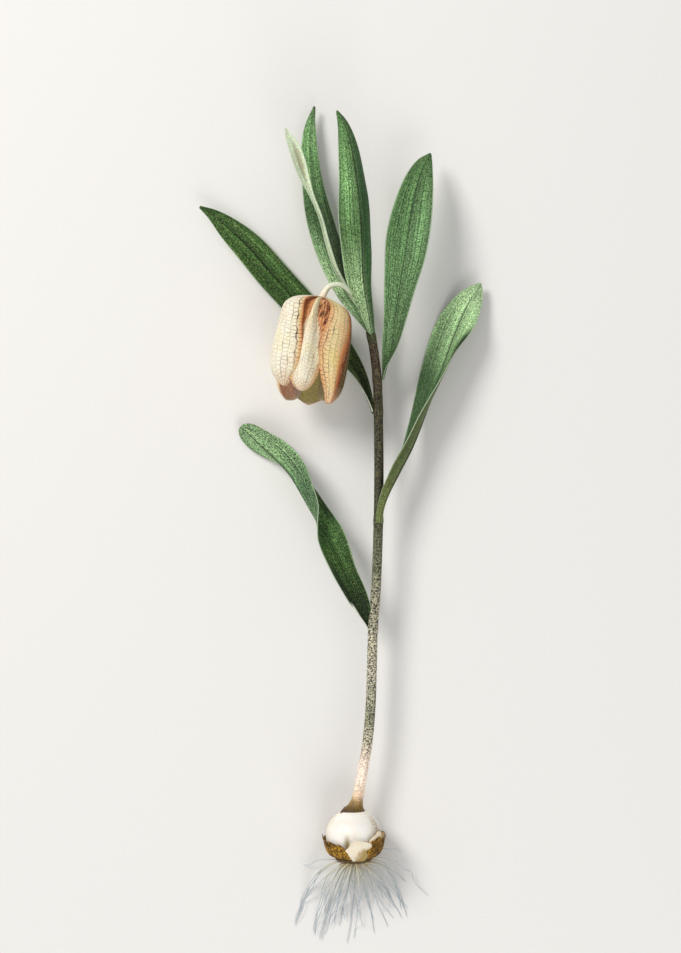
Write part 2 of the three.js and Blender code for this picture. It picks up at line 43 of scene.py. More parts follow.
# Driving sizes, shared with the frame's solids
GAP = 0.3
BULB_RADIUS = 10.6
TUNIC_THICKNESS = 1.0
REST_FLAT_DEPTH = 0.35
AXIS_HEIGHT = BULB_RADIUS + GAP + TUNIC_THICKNESS - REST_FLAT_DEPTH
STEM_RADIUS = 1.95
PEDICEL_RADIUS = 0.95
RECEPTACLE_RADIUS = 1.65
NECK = np.array([-11.9, 202.2, 17.8])
FLOWER_LEAN = 9.5
FLOWER_LIFT = 11

STEM_LINE = [
    (-0.1, 8.2, AXIS_HEIGHT), (0.7, 12, 11.8), (1.6, 16, 12), (3.2, 24.8, 12.1), (4.9, 35, 12.3),
    (6.1, 47.3, 12.4), (6.7, 63, 12.6), (7.1, 78, 12.8), (8.2, 93, 13), (8.9, 110, 13.2),
    (9.3, 130.5, 13.4), (9.2, 153, 13.5), (8.7, 171.7, 13.7), (7.4, 183, 13.9), (6.1, 190, 14.2),
]
PEDICEL_LINE = [
    (6.6, 189.6, 13.2), (4.6, 196.5, 13.4), (1.6, 201.4, 14.4), (-1.6, 204.9, 15.7), (-4.5, 206.9, 16.8),
    (-7.2, 207.2, 17.4), (-9.7, 206, 17.7),
]
STEM_GIRTH = [
    (0, 5.4), (0.006, 4.9), (0.013, 4.2), (0.019, 3.1), (0.027, 2.5), (0.04, 2.1), (0.1, STEM_RADIUS),
    (0.9, 1.72), (1, 1.66),
]
PEDICEL_GIRTH = [(0, 1.15), (0.3, PEDICEL_RADIUS), (0.8, PEDICEL_RADIUS), (0.93, 1.2), (1, RECEPTACLE_RADIUS)]

# Leaves: each section row holds share of length, half width, roll, left fold and right fold
LEAVES = {
    "leaf_top_front": {
        "line": [
            (6.7, 188.8, 16.6), (4.9, 198.3, 19.5), (3.2, 208.8, 22.8), (2.7, 219.3, 26), (2, 231.5, 29.6),
            (0.8, 243.3, 32.8), (-1.3, 256.2, 35.4), (-3.8, 264.5, 36.4), (-6.4, 269.4, 36.6),
        ],
        "sections": [
            (0, 1.4, 178, 60, 60), (0.06, 2.8, 170, 58, 58), (0.14, 4.2, 162, 54, 50),
            (0.27, 6.4, 155, 48, 44), (0.5, 8, 150, 46, 42), (0.68, 6.6, 150, 42, 42),
            (0.84, 4.5, 152, 40, 40), (0.94, 2.4, 152, 30, 30), (1, 0.4, 152, 20, 20),
        ],
    },
    "leaf_low_left": {
        "line": [
            (5.1, 79.2, 12.8), (3.1, 86, 13.4), (-0.1, 92.9, 14), (-3.7, 99.9, 14.4), (-6.8, 106.6, 14.6),
            (-10.1, 113, 14.5), (-14.8, 120.8, 13.6), (-19, 128.2, 12.2), (-23, 134.9, 10.8),
            (-26.4, 139.1, 9.8), (-30.1, 142.9, 8.8), (-36.4, 148.5, 6.2), (-39.4, 151.3, 4.6),
            (-42.9, 154.3, 3),
        ],
        "sections": [
            (0, 1.2, -50, 50, 55), (0.06, 3.2, -18, 38, 50), (0.14, 4.4, -10, 34, 42),
            (0.25, 5, -9, 33, 35), (0.4, 6.6, -31, 38, 38), (0.47, 6.8, -52, 55, 55),
            (0.53, 6.9, -74, 68, 68), (0.62, 7.2, -95, 70, 70), (0.7, 7.6, -114, 68, 68),
            (0.8, 7.3, -134, 58, 55), (0.9, 5.6, -155, 37, 37), (0.95, 4.5, -165, 26, 26),
            (0.98, 3.3, -170, 22, 22), (1, 1.5, -172, 18, 18),
        ],
    },
    "leaf_mid_right": {
        "line": [
            (9.7, 118, 15.6), (10.6, 123, 15.9), (12.8, 128.6, 15.7), (16.4, 136, 14.6),
            (21.6, 146.2, 12.8), (24.7, 153.8, 11.4), (28.7, 164.4, 9), (33.3, 175.8, 6.35),
            (36.8, 185.4, 4.48), (40.6, 195.1, 3.25), (43.4, 200.9, 3.25), (47.9, 208.6, 4.4),
        ],
        "sections": [
            (0, 1.6, 165, 60, 60), (0.06, 2.3, 140, 60, 60), (0.13, 3.7, 112, 58, 58),
            (0.23, 4.9, 97, 57, 57), (0.38, 5.8, 82, 53, 53), (0.5, 7.5, 66, 41, 41),
            (0.68, 9.3, 50, 30, 42), (0.8, 9, 34, 20, 30), (0.92, 5.4, 12, 16, 20),
            (0.97, 2.9, 4, 12, 14), (1, 0.4, 0, 10, 10),
        ],
    },
    "leaf_mid_left": {
        "line": [
            (6.7, 159.3, 13.3), (4.3, 166.5, 10.4), (1, 174.2, 6.4), (-3.4, 181.1, 3.4), (-9, 188.4, 1.7),
            (-15.9, 196, 1), (-23.1, 203.6, 0.8), (-30.4, 211.6, 0.8), (-39.4, 222, 1.3), (-47.3, 229.4, 2.6),
            (-53.1, 234.3, 4.2), (-58.2, 237.3, 6.2),
        ],
        "sections": [
            (0, 1.7, -75, 55, 55), (0.1, 3, -50, 45, 45), (0.22, 4.4, -25, 35, 35), (0.4, 5.8, -5, 20, 20),
            (0.7, 6.2, 0, 14, 14), (0.86, 4.6, 0, 14, 14), (1, 0.5, 0, 10, 10),
        ],
    },
    "leaf_top_right": {
        "line": [
            (11.1, 171.8, 13.4), (12.1, 175.8, 14.2), (13.6, 182.4, 15.4), (15.2, 193.6, 17.4),
            (16.9, 205.7, 19.2), (18.8, 217.2, 20), (20, 225.8, 19.6), (21.5, 234.5, 18.2),
            (23.3, 243.1, 15.8), (25.7, 250.8, 12.8), (28.8, 257.1, 9),
        ],
        "sections": [
            (0, 0.7, 80, 70, 70), (0.05, 1.9, 60, 60, 60), (0.1, 2.9, 38, 54, 50), (0.17, 3.9, 18, 48, 40),
            (0.26, 4.7, 6, 40, 32), (0.4, 6.3, 0, 28, 25), (0.54, 8.1, 0, 26, 23), (0.64, 8.4, 0, 32, 22),
            (0.75, 7.5, 0, 40, 20), (0.85, 5.8, 0, 42, 20), (0.94, 3.1, 0, 34, 18), (1, 0.4, 0, 12, 12),
        ],
    },
    "leaf_top_back": {
        "line": [
            (6, 189.8, 11.6), (1.9, 197.3, 10.6), (-2.2, 204.1, 9.9), (-6, 212.5, 9.2),
            (-9.2, 220.8, 8.5), (-12.2, 230.3, 7.6), (-14.5, 239.8, 6.8), (-16.2, 251.2, 5.8),
            (-16.8, 260.8, 5), (-16.4, 268.4, 4.4), (-14.9, 275.5, 4),
        ],
        "sections": [
            (0, 1.2, 0, 55, 55), (0.12, 3.6, 0, 40, 40), (0.3, 5.3, 0, 30, 30), (0.5, 5.4, 0, 25, 25),
            (0.7, 3.9, 0, 22, 22), (0.88, 2.6, 0, 20, 20), (1, 0.4, 0, 12, 12),
        ],
    },
    "leaf_top_slim": {
        "line": [
            (6, 189.2, 13), (2.6, 197.6, 12.4), (-2.3, 204.8, 12.8), (-6.8, 213.2, 14.2), (-9.9, 222.7, 15.8),
            (-12.6, 232.7, 17.2), (-15.9, 240.4, 18.2), (-18.8, 247.4, 18.8), (-22, 256.9, 18.8),
            (-25.6, 265.2, 18),
        ],
        "sections": [
            (0, 1.1, -40, 70, 70), (0.2, 1.3, -15, 76, 76), (0.45, 1.25, 0, 76, 76),
            (0.62, 1.15, 0, 76, 76), (0.68, 1.3, -4, 70, 70), (0.75, 2.1, -8, 52, 52),
            (0.83, 2.7, -12, 38, 38), (0.91, 2.3, -16, 28, 28), (0.97, 1.2, -16, 20, 20),
            (1, 0.4, -16, 15, 15),
        ],
    },
}
LEAF_CREASE = 0.35
LEAF_STATIONS = 150
LEAF_HALF_COLUMNS = 24
VEINS_PER_HALF = 7
LEAF_HALF_THICKNESS = (0.3, 0.13)
VEIN_HEIGHT = 0.035
RIPPLE_HEIGHT = 0.22
GROOVE_DEPTH = 0.14
GROOVE_WIDTH = 0.05
KEEL_DEPTH = 0.32
KEEL_WIDTH = 0.07

# Tepals: rows hold share of length, distance along the flower's axis, radius and half angle
OUTER_ROWS = [
    (0, 0.1, 1.3, 62), (0.04, 0.5, 3.7, 58), (0.1, 1.4, 7.2, 46), (0.19, 3, 11.4, 37), (0.27, 5.8, 13.8, 37),
    (0.4, 12, 14.6, 41), (0.57, 20, 15.1, 43), (0.72, 27.5, 15.3, 43), (0.84, 33, 14.3, 42),
    (0.93, 36.6, 12.2, 40), (1, 39, 9.8, 36),
]
FIRST_ROWS = [
    (0, 0.1, 1.3, 62), (0.04, 0.7, 3.7, 58), (0.1, 2, 7, 47), (0.19, 4.2, 11.2, 38), (0.27, 7, 13.4, 38),
    (0.4, 12.6, 14.6, 41), (0.57, 20, 15.1, 43), (0.72, 27.5, 15.3, 43), (0.84, 33.4, 14.9, 42),
    (0.93, 37.6, 13.9, 40), (1, 40.9, 12.6, 36),
]
INNER_ROWS = [
    (0, 1.9, 2.8, 40), (0.11, 4.4, 6.6, 42), (0.2, 8, 9.8, 44), (0.36, 14.5, 12.6, 46), (0.55, 22, 13.9, 47),
    (0.72, 29, 14.2, 45), (0.84, 34, 12.6, 42), (0.93, 37.2, 10.7, 40), (1, 39.4, 8.8, 37),
]
FRONT_ROWS = [
    (0, 0.2, 1.2, 62), (0.05, 0.8, 3.6, 60), (0.11, 2.1, 6.8, 58), (0.2, 5.4, 10.3, 53),
    (0.34, 12.2, 13.2, 47), (0.52, 20.5, 14.4, 39), (0.7, 28, 14.6, 32), (0.84, 33.6, 13.3, 27),
    (0.94, 36.8, 11, 25), (1, 38.2, 9.2, 24),
]
TEPALS = {
    "tepal_outer_1": {
        "rows": FIRST_ROWS, "azimuth": 52, "width": 0.96, "round": (0.62, 1.6, 0.8),
        "right_round": (0.8, 2.2, 0.55),
        "left_margin": [
            (0, 0.9), (0.1, 0.64), (0.16, 0.74), (0.24, 0.8), (0.36, 0.84), (0.5, 0.97), (0.7, 1), (1, 1),
        ],
    },
    "tepal_outer_2": {"rows": OUTER_ROWS, "azimuth": 172, "round": (0.76, 2.4, 0.5)},
    "tepal_outer_3": {
        "rows": OUTER_ROWS, "azimuth": -68, "length": 0.925, "round": (0.8, 2.4, 0.5),
        "right_margin": [
            (0, 1), (0.42, 1), (0.51, 1.05), (0.62, 1.15), (0.7, 1.2), (0.8, 1.2), (0.9, 1.12), (1, 1.05),
        ],
    },
    "tepal_inner_1": {"rows": FRONT_ROWS, "azimuth": -11, "round": (0.78, 2.2, 0.5)},
    "tepal_inner_2": {
        "rows": INNER_ROWS, "azimuth": 112, "length": 0.96, "width": 0.95, "round": (0.85, 2.6, 0.5),
    },
    "tepal_inner_3": {"rows": INNER_ROWS, "azimuth": -128, "round": (0.84, 2.6, 0.5)},
}
FULL_MARGIN = [(0, 1), (1, 1)]
OUTER_EDGE_DROP = 0.18
INNER_FLANK = [(0, 0.84), (0.1, 0.82), (0.3, 0.79), (0.5, 0.82), (0.7, 0.83), (0.85, 0.84), (1, 0.9)]
INNER_RIB = [
    (0, 0.26), (0.12, 0.13), (0.25, 0.14), (0.34, 0.22), (0.42, 0.34), (0.52, 0.42), (0.62, 0.52),
    (0.72, 0.72), (0.84, 1.1), (1, 1.5),
]
INNER_RIB_LEFT = [
    (0, 0.26), (0.12, 0.13), (0.25, 0.14), (0.34, 0.2), (0.42, 0.26), (0.52, 0.27), (0.62, 0.28),
    (0.72, 0.36), (0.84, 0.8), (1, 1.5),
]
TEPAL_STATIONS = 96
TEPAL_COLUMNS = 60
TEPAL_CROWDING = 1.5
TEPAL_HALF_THICKNESS = (0.3, 0.12)
TEPAL_WAVE = 0.25
TEPAL_QUILT = 0.05
NET_ROWS = 5
NET_CELLS_ALONG = 30

# Bulb: distance along the plant and radius
BULB_PROFILE = [
    (-7.3, 4.6), (-6.6, 7), (-4.8, 9.2), (-1.8, 10.3), (1.6, BULB_RADIUS), (4.8, 9.8), (7.5, 8), (9.5, 5.6),
    (10.5, 2.8),
]
BULB_BASE = -7.6
BULB_TOP = 10.9
CLEFT_TURN = 18
PLATE_PROFILE = [(-6.9, 6.3), (-7.6, 6.9), (-8.3, 6.5), (-9, 5.2), (-9.6, 2.8)]

# The two scales of the bulb: grid, seam between them, hollow and a patch of painted shade on the right side
SCALE_LEVELS = 44
SCALE_COLUMNS = 91
SEAM_ROUNDING = 0.75
SEAM_REACH = 0.8
SEAM_GAP = 0.22
HOLLOW_TURN = -15
HOLLOW_WIDTH = 7
HOLLOW_DEPTH = 0.9
# The patch of painted shade on the bulb's right side
SIDE_SHADE_TURN = 57
SIDE_SHADE_WIDTH = 13
SIDE_SHADE_PLACE = 5.4
SIDE_SHADE_LENGTH = 3.4

# Roots, by the same rule as the frame's
ROOT_RADIUS = 0.38
ROOT_COUNT = 28
ROOT_SEED = 7
ROOT_STEPS = 7
ROOT_SPREAD = 5.2
ROOT_LENGTH = {"left": (22, 39), "right": (16, 33)}
ROOT_LEAN = {"left": (-24, -7), "right": (2, 40)}
ROOT_SETTLING = {"left": (0.22, 0.42), "right": (0.16, 0.4)}
ROOT_TURN = 137.5
ROOT_START = -8.9
ROOT_FAN = (76, 112)
WIDEST_FAN = 80
FINE_ROOT_COUNT = 14
FINE_ROOT_SEED = 21

# Their radii at the plate and at the tip
ROOT_RADII = (ROOT_RADIUS * 0.8, 0.09)
LONG_ROOT_RADII = (0.28, 0.09)
FINE_ROOT_RADII = (0.16, 0.07)


# Lines, tables and closed meshes

def lerp(start, end, share):
    return start + (end - start) * share


def smoothstep(value, low, high):
    share = np.clip((np.asarray(value, float) - low) / (high - low), 0, 1)
    return share * share * (3 - 2 * share)


def unit(vectors):
    return vectors / np.linalg.norm(vectors, axis=-1, keepdims=True)


def read_table(rows, shares):
    """Smooth reading of a table whose rows start with a share from 0 to 1."""
    table = np.array(rows, float)
    last = len(table) - 1
    index = np.arange(len(table))
    before, after = np.maximum(index - 1, 0), np.minimum(index + 1, last)
    slopes = (table[after, 1:] - table[before, 1:]) / (table[after, :1] - table[before, :1])
    shares = np.clip(np.atleast_1d(shares), 0, 1)
    row = np.clip(np.searchsorted(table[:, 0], shares, side="left") - 1, 0, last - 1)
    step = (table[row + 1, 0] - table[row, 0])[:, None]
    t = (shares[:, None] - table[row, :1]) / step
    start, end = table[row, 1:], table[row + 1, 1:]
    bend = step * (t**3 - 2 * t**2 + t) * slopes[row]
    unbend = step * (t**3 - t**2) * slopes[row + 1]
    return start + (end - start) * (3 * t**2 - 2 * t**3) + bend + unbend


def smooth_line(knots, shares):
    """Points and directions at shares of the length of a smooth line through the knots."""
    knots = np.array(knots, float)
    ends = np.vstack([2 * knots[0] - knots[1], knots, 2 * knots[-1] - knots[-2]])
    samples = []
    for i in range(1, len(knots)):
        p0, p1, p2, p3 = ends[i - 1:i + 3]
        d0, d1, d2 = (math.sqrt(np.linalg.norm(b - a)) for a, b in ((p0, p1), (p1, p2), (p2, p3)))
        m1 = ((p1 - p0) / d0 - (p2 - p0) / (d0 + d1) + (p2 - p1) / d1) * d1
        m2 = ((p2 - p1) / d1 - (p3 - p1) / (d1 + d2) + (p3 - p2) / d2) * d1
        t = np.linspace(0, 1, 40, endpoint=i == len(knots) - 1)[:, None]
        samples.append(
            p1 + m1 * t + (3 * (p2 - p1) - 2 * m1 - m2) * t**2 + (2 * (p1 - p2) + m1 + m2) * t**3
        )
    samples = np.vstack(samples)
    length = np.concatenate([[0], np.cumsum(np.linalg.norm(np.diff(samples, axis=0), axis=1))])
    length /= length[-1]
    shares = np.asarray(shares, float)
    step = 0.004

    def at(share):
        return np.stack([np.interp(share, length, samples[:, k]) for k in range(3)], axis=-1)

    ahead = at(np.minimum(shares + step, 1)) - at(np.maximum(shares - step, 0))
    return at(shares), unit(ahead)


def frames_on(knots, shares):
    """Centres on a line, with its direction, the direction to its right and the one up from it."""
    centre, along = smooth_line(knots, shares)
    right = unit(np.cross(along, UP))
    return centre, along, right, np.cross(right, along)


def outward(points, faces):
    """The faces, turned over if they close round a negative volume."""
    a, b, c = points[faces[:, 0]], points[faces[:, 1]], points[faces[:, 2]]
    volume = np.einsum("ij,ij->i", a, np.cross(b, c)).sum()
    if faces.shape[1] == 4:
        d = points[faces[:, 3]]
        volume += np.einsum("ij,ij->i", a, np.cross(c, d)).sum()
    return faces if volume > 0 else faces[:, ::-1]


def new_piece(name, points, faces, marks, finish):
    """A smooth mesh object from points in millimetres, with one value per point for each mark."""
    mesh = bpy.data.meshes.new(name)
    mesh.from_pydata((points * MM).tolist(), [], [list(face) for face in faces])
    for mark, values in marks.items():
        attribute = mesh.attributes.new(mark, "FLOAT", "POINT")
        attribute.data.foreach_set("value", np.asarray(values, np.float32).ravel())
    mesh.polygons.foreach_set("use_smooth", [True] * len(mesh.polygons))
    mesh.materials.append(finish)
    piece = bpy.data.objects.new(name, mesh)
    bpy.context.scene.collection.objects.link(piece)
    return piece


def sheet_piece(name, middle, front, back, marks, finish):
    """A closed blade round a grid of points, with a depth before and behind each; its front has upper 1."""
    rows, columns = middle.shape[:2]
    normal = unit(np.cross(np.gradient(middle, axis=1), np.gradient(middle, axis=0)))
    before = middle + normal * np.broadcast_to(front, (rows, columns))[..., None]
    behind = middle - normal * np.broadcast_to(back, (rows, columns))[..., None]
    points = np.concatenate([before.reshape(-1, 3), behind.reshape(-1, 3)])
    count = rows * columns
    grid = np.arange(count).reshape(rows, columns)
    a, b, c, d = grid[:-1, :-1], grid[:-1, 1:], grid[1:, 1:], grid[1:, :-1]
    top = np.stack([a, b, c, d], axis=-1).reshape(-1, 4)
    border = np.concatenate([grid[0, :-1], grid[:-1, -1], grid[-1, :0:-1], grid[:0:-1, 0]])
    after = np.roll(border, -1)
    rim = np.stack([border, border + count, after + count, after], axis=1)
    faces = np.concatenate([top, top[:, ::-1] + count, rim])
    both = {
        mark: np.tile(np.broadcast_to(values, (rows, columns)).ravel(), 2) for mark, values in marks.items()
    }
    both["upper"] = np.repeat([1.0, 0.0], count)
    return new_piece(name, points, outward(points, faces), both, finish)


def ring_piece(name, rings, start, end, marks, finish):
    """A closed body through rings of equal count, with a point at each end."""
    count, sides = rings.shape[:2]
    points = np.concatenate([rings.reshape(-1, 3), [start], [end]])
    grid = np.arange(count * sides).reshape(count, sides)
    low, high = grid[:-1], grid[1:]
    around = np.stack([low, np.roll(low, -1, 1), np.roll(high, -1, 1), high], axis=-1).reshape(-1, 4)
    first, last = len(points) - 2, len(points) - 1
    faces = outward(points, around).tolist()
    turned = faces[0][1] != around[0][1]
    for ring, tip, flip in ((grid[0], first, not turned), (grid[-1], last, turned)):
        pairs = zip(ring.tolist(), np.roll(ring, -1).tolist())
        faces += [[tip, b, a] if flip else [tip, a, b] for a, b in pairs]
    ends = {
        mark: np.concatenate([values.ravel(), [values[0].mean()], [values[-1].mean()]])
        for mark, values in marks.items()
    }
    return new_piece(name, points, faces, ends, finish)


def random_draw(seed):
    """The frame's own seeded draw, so that the roots fall in the same places."""
    state = seed

    def whole(value):
        return value & 0xFFFFFFFF

    def draw():
        nonlocal state
        state = whole(state + 0x6D2B79F5)
        mixed = whole((state ^ (state >> 15)) * (1 | state))
        mixed = whole(mixed + whole((mixed ^ (mixed >> 7)) * (61 | mixed))) ^ mixed
        return (mixed ^ (mixed >> 14)) / 4294967296

    return draw


# Node trees, built step by step

class Reading:
    """A node's output that can be reckoned with like a number."""

    def __init__(self, graph, socket):
        self.graph = graph
        self.socket = socket

    def __add__(self, other):
        return self.graph.calc("ADD", self, other)

    def __sub__(self, other):
        return self.graph.calc("SUBTRACT", self, other)

    def __mul__(self, other):
        return self.graph.calc("MULTIPLY", self, other)

    def __truediv__(self, other):
        return self.graph.calc("DIVIDE", self, other)

    def __abs__(self):
        return self.graph.calc("ABSOLUTE", self)


class Graph:
    """A node tree. A value in it is a number, a colour or a reading."""

    def __init__(self, tree):
        self.tree = tree

    def node(self, kind, inputs=(), output=0, **settings):
        made = self.tree.nodes.new(kind)
        for key, value in settings.items():
            setattr(made, key, value)
        for key, value in dict(inputs).items():
            self.feed(made.inputs[key], value)
        return Reading(self, made.outputs[output])

    def feed(self, socket, value):
        if isinstance(value, Reading):
            self.tree.links.new(value.socket, socket)
        elif socket.type == "RGBA":
            socket.default_value = (*value[:3], 1)
        else:
            socket.default_value = value

    def calc(self, operation, *values):
        return self.node("ShaderNodeMath", dict(enumerate(values)), operation=operation)

    def vector_calc(self, operation, first, second):
        return self.node("ShaderNodeVectorMath", {0: first, 1: second}, operation=operation)

    def scaled(self, vector, factor):
        """A vector or a colour, made larger or lighter by a factor."""
        return self.node("ShaderNodeVectorMath", {0: vector, "Scale": factor}, operation="SCALE")


class Finish(Graph):
    """One material."""

    def __init__(self, name, roughness, gloss=0.35):
        self.material = bpy.data.materials.new(name)
        self.material.use_nodes = True
        super().__init__(self.material.node_tree)
        self.shader = self.tree.nodes["Principled BSDF"].inputs
        self.shader["Roughness"].default_value = roughness
        self.shader["Specular IOR Level"].default_value = gloss

    def translucent(self, weight, depth, radius=None):
        """Lets a share of the light into the flesh, to a depth in millimetres."""
        self.shader["Subsurface Weight"].default_value = weight
        self.shader["Subsurface Scale"].default_value = depth * MM
        if radius:
            self.shader["Subsurface Radius"].default_value = radius

    def mark(self, name):
        return self.node("ShaderNodeAttribute", output="Fac", attribute_name=name)

    def place(self):
        return self.node("ShaderNodeTexCoord", output="Object")

    def point(self, x, y, z=0.0):
        return self.node("ShaderNodeCombineXYZ", {0: x, 1: y, 2: z})

    def noise(self, where, scale, detail=2.0, roughness=0.5):
        inputs = {"Vector": where, "Scale": scale, "Detail": detail, "Roughness": roughness}
        return self.node("ShaderNodeTexNoise", inputs, output="Fac")

    def grid_noise(self, across, along, layer=0.0, detail=2.0):
        """Noise that runs with a piece's own marks, so that it can be stretched along them."""
        return self.noise(self.point(across, along, layer), 1.0, detail)

    def step(self, value, low, high, start=0.0, end=1.0):
        inputs = {"Value": value, "From Min": low, "From Max": high, "To Min": start, "To Max": end}
        return self.node("ShaderNodeMapRange", inputs, interpolation_type="SMOOTHSTEP")

    def mix(self, share, first, second, mode="MIX"):
        inputs = {0: share, 6: first, 7: second}
        return self.node("ShaderNodeMix", inputs, output=2, data_type="RGBA", blend_type=mode)

    def ramp(self, value, stops):
        made = self.tree.nodes.new("ShaderNodeValToRGB")
        marks = made.color_ramp.elements
        while len(marks) < len(stops):
            marks.new(0.5)
        for mark, (share, colour) in zip(marks, stops):
            mark.position = share
            mark.color = (*colour, 1)
        self.feed(made.inputs[0], value)
        return Reading(self, made.outputs[0])

    def finish(self, colour, height=None, depth=0.0):
        """The material, in this colour and with a relief whose depth is in millimetres."""
        self.feed(self.shader["Base Color"], colour)
        if height is not None:
            bump = self.node("ShaderNodeBump", {"Height": height, "Distance": depth * MM, "Strength": 1.0})
            self.feed(self.shader["Normal"], bump)
        return self.material


# Finishes: noise scales are in grains per metre, or per piece for a noise on the grid

LEAF_SHADE = 0.97
FLECK_OLIVE = (0.22, 0.24, 0.09)
BLEACHED_TINT = (1.05, 1.35, 0.6)
MARGIN_GREEN = (0.46, 0.56, 0.4)
HEM_WHITE = (0.85, 0.86, 0.74)
TIP_PINK = (0.84, 0.48, 0.3)
RIDGE_GOLD = (1.0, 0.78, 0.46)
FLANK_SHADE_ORANGE = (0.88, 0.39, 0.17)
HATCH_SHADE_BROWN = (0.16, 0.035, 0.015)
BLUSH_TINT = (1.0, 0.78, 0.76)
LEMON_TINT = (0.96, 0.95, 0.66)
NET_OLIVE = (0.36, 0.28, 0.14)
NET_BROWN = (0.16, 0.045, 0.02)
NET_BLACK = (0.05, 0.02, 0.01)
RIM_CREAM = (0.92, 0.8, 0.6)
INNER_NET_RED = (0.2, 0.06, 0.04)
STREAK_TAN = (0.78, 0.66, 0.45)
BLOTCH_BUFF = (0.86, 0.72, 0.55)
HOLLOW_SHADE_OLIVE = (0.36, 0.28, 0.1)
SIDE_SHADE_BROWN = (0.42, 0.28, 0.09)
COAT_EDGE_BLACK = (0.04, 0.024, 0.008)
FLAP_WHITE = (0.84, 0.76, 0.6)
FLAP_BUFF = (0.72, 0.58, 0.37)
FLAP_SHADE_TAN = (0.38, 0.25, 0.06)
STEM_COLOURS = [
    (0.0, (0.04, 0.02, 0.004)), (0.01, (0.07, 0.035, 0.007)), (0.02, (0.17, 0.1, 0.02)),
    (0.032, (0.33, 0.21, 0.075)), (0.045, (0.82, 0.6, 0.42)), (0.075, (0.9, 0.74, 0.62)),
    (0.11, (0.82, 0.66, 0.54)), (0.15, (0.42, 0.38, 0.28)), (0.2, (0.17, 0.17, 0.11)),
    (0.3, (0.34, 0.32, 0.235)), (0.44, (0.25, 0.24, 0.165)), (0.52, (0.105, 0.11, 0.063)),
    (0.6, (0.062, 0.066, 0.033)), (0.68, (0.042, 0.04, 0.019)), (0.85, (0.054, 0.048, 0.022)),
    (0.96, (0.066, 0.045, 0.027)), (1.0, (0.06, 0.08, 0.03)),
]
STALK_COLOURS = [
    (0.0, (0.2, 0.3, 0.12)), (0.25, (0.35, 0.44, 0.24)), (0.42, (0.72, 0.82, 0.58)), (0.78, (0.86, 0.9, 0.7)),
    (1.0, (0.94, 0.78, 0.6)),
]
# Pale root colours; the bluish grey is painted light, a bluish cast seen through the roots.
ROOT_AND_BACKDROP_COLOURS = [
    (0.0, (0.5, 0.4, 0.2)), (0.1, (0.6, 0.58, 0.46)), (0.45, (0.5, 0.56, 0.57)), (1.0, (0.4, 0.48, 0.54)),
]


def leaf_finish(
    name, upper, lower, left_shade, right_shade, rib=0.3, flecks=0.4, spots_light_and_shade=(), contrast=1.0, hem=0.0,
):
    """Fine parallel veins, a dark midrib, a pale margin and a close mottle over a green that changes along.

    Each spot is a soft patch: across, its half width, along, its half length, its colour and its strength.
    Most spots are painted shade, where a half turns from the light or a margin folds under, and the pale ones
    are painted light.
    The hem is the share of the length at the base over which the left margin is white.
    """
    made = Finish(name, 0.55, 0.22)
    across, along = made.mark("across"), made.mark("along")
    aside = abs(across)
    streaks = made.grid_noise(across * 17.0, along * 2.2, detail=3.0)
    bands = made.grid_noise(across * 3.0, along * 2.4, 7.0)
    mottle = made.noise(made.place(), 2300.0, 2.0, 0.75)
    grains = made.noise(made.place(), 1900.0, 2.0, 0.7)
    veins = made.calc("COSINE", aside * (2 * math.pi * VEINS_PER_HALF))
    # Painted light and shade: each half of the blade is made lighter or darker by how it would face the
    # light.
    shade = made.step(across, -0.08, 0.08, left_shade, right_shade) * LEAF_SHADE
    for reading, low, high, start, end in (
        (streaks, 0.36, 0.64, -0.36, 0.32), (bands, 0.3, 0.7, -0.26, 0.24), (mottle, 0.37, 0.63, -0.68, 0.85),
        (veins, 0.2, 1.0, 0.06, -0.22),
    ):
        shade = shade * made.step(reading, low, high, 1 + start * contrast, 1 + end * contrast)
    shade = shade * made.step(aside, 0.012, 0.06, rib, 1.0)
    colour = made.mix(made.mark("upper"), made.ramp(along, lower), made.ramp(along, upper))
    colour = made.mix(made.step(grains, 0.55, 0.7, 0.0, flecks), colour, FLECK_OLIVE)
    # Spots: painted shade where dark, painted light where pale, and the leaf's own tint in a few.
    for centre, half_width, place, half_length, paint, strength in spots_light_and_shade:
        off = made.point((across - centre) / half_width, (along - place) / half_length)
        gap = made.node("ShaderNodeVectorMath", {0: off}, output="Value", operation="LENGTH")
        colour = made.mix(made.step(gap, 0.35, 1.0, strength, 0.0), colour, paint)
    bleached = made.mix(1.0, made.node("ShaderNodeRGBToBW", {0: colour}), BLEACHED_TINT, "MULTIPLY")
    colour = made.mix(made.step(mottle, 0.5, 0.62, 0.0, 0.35), colour, bleached)
    colour = made.scaled(colour, shade)
    colour = made.mix(made.step(aside, 0.95, 0.985, 0.0, 0.75), colour, MARGIN_GREEN)
    if hem:
        edge = made.step(across, -0.68, -0.8) * made.step(along, hem, 0.7 * hem)
        colour = made.mix(edge, colour, HEM_WHITE)
    return made.finish(colour, streaks + mottle * 0.35, 0.22)


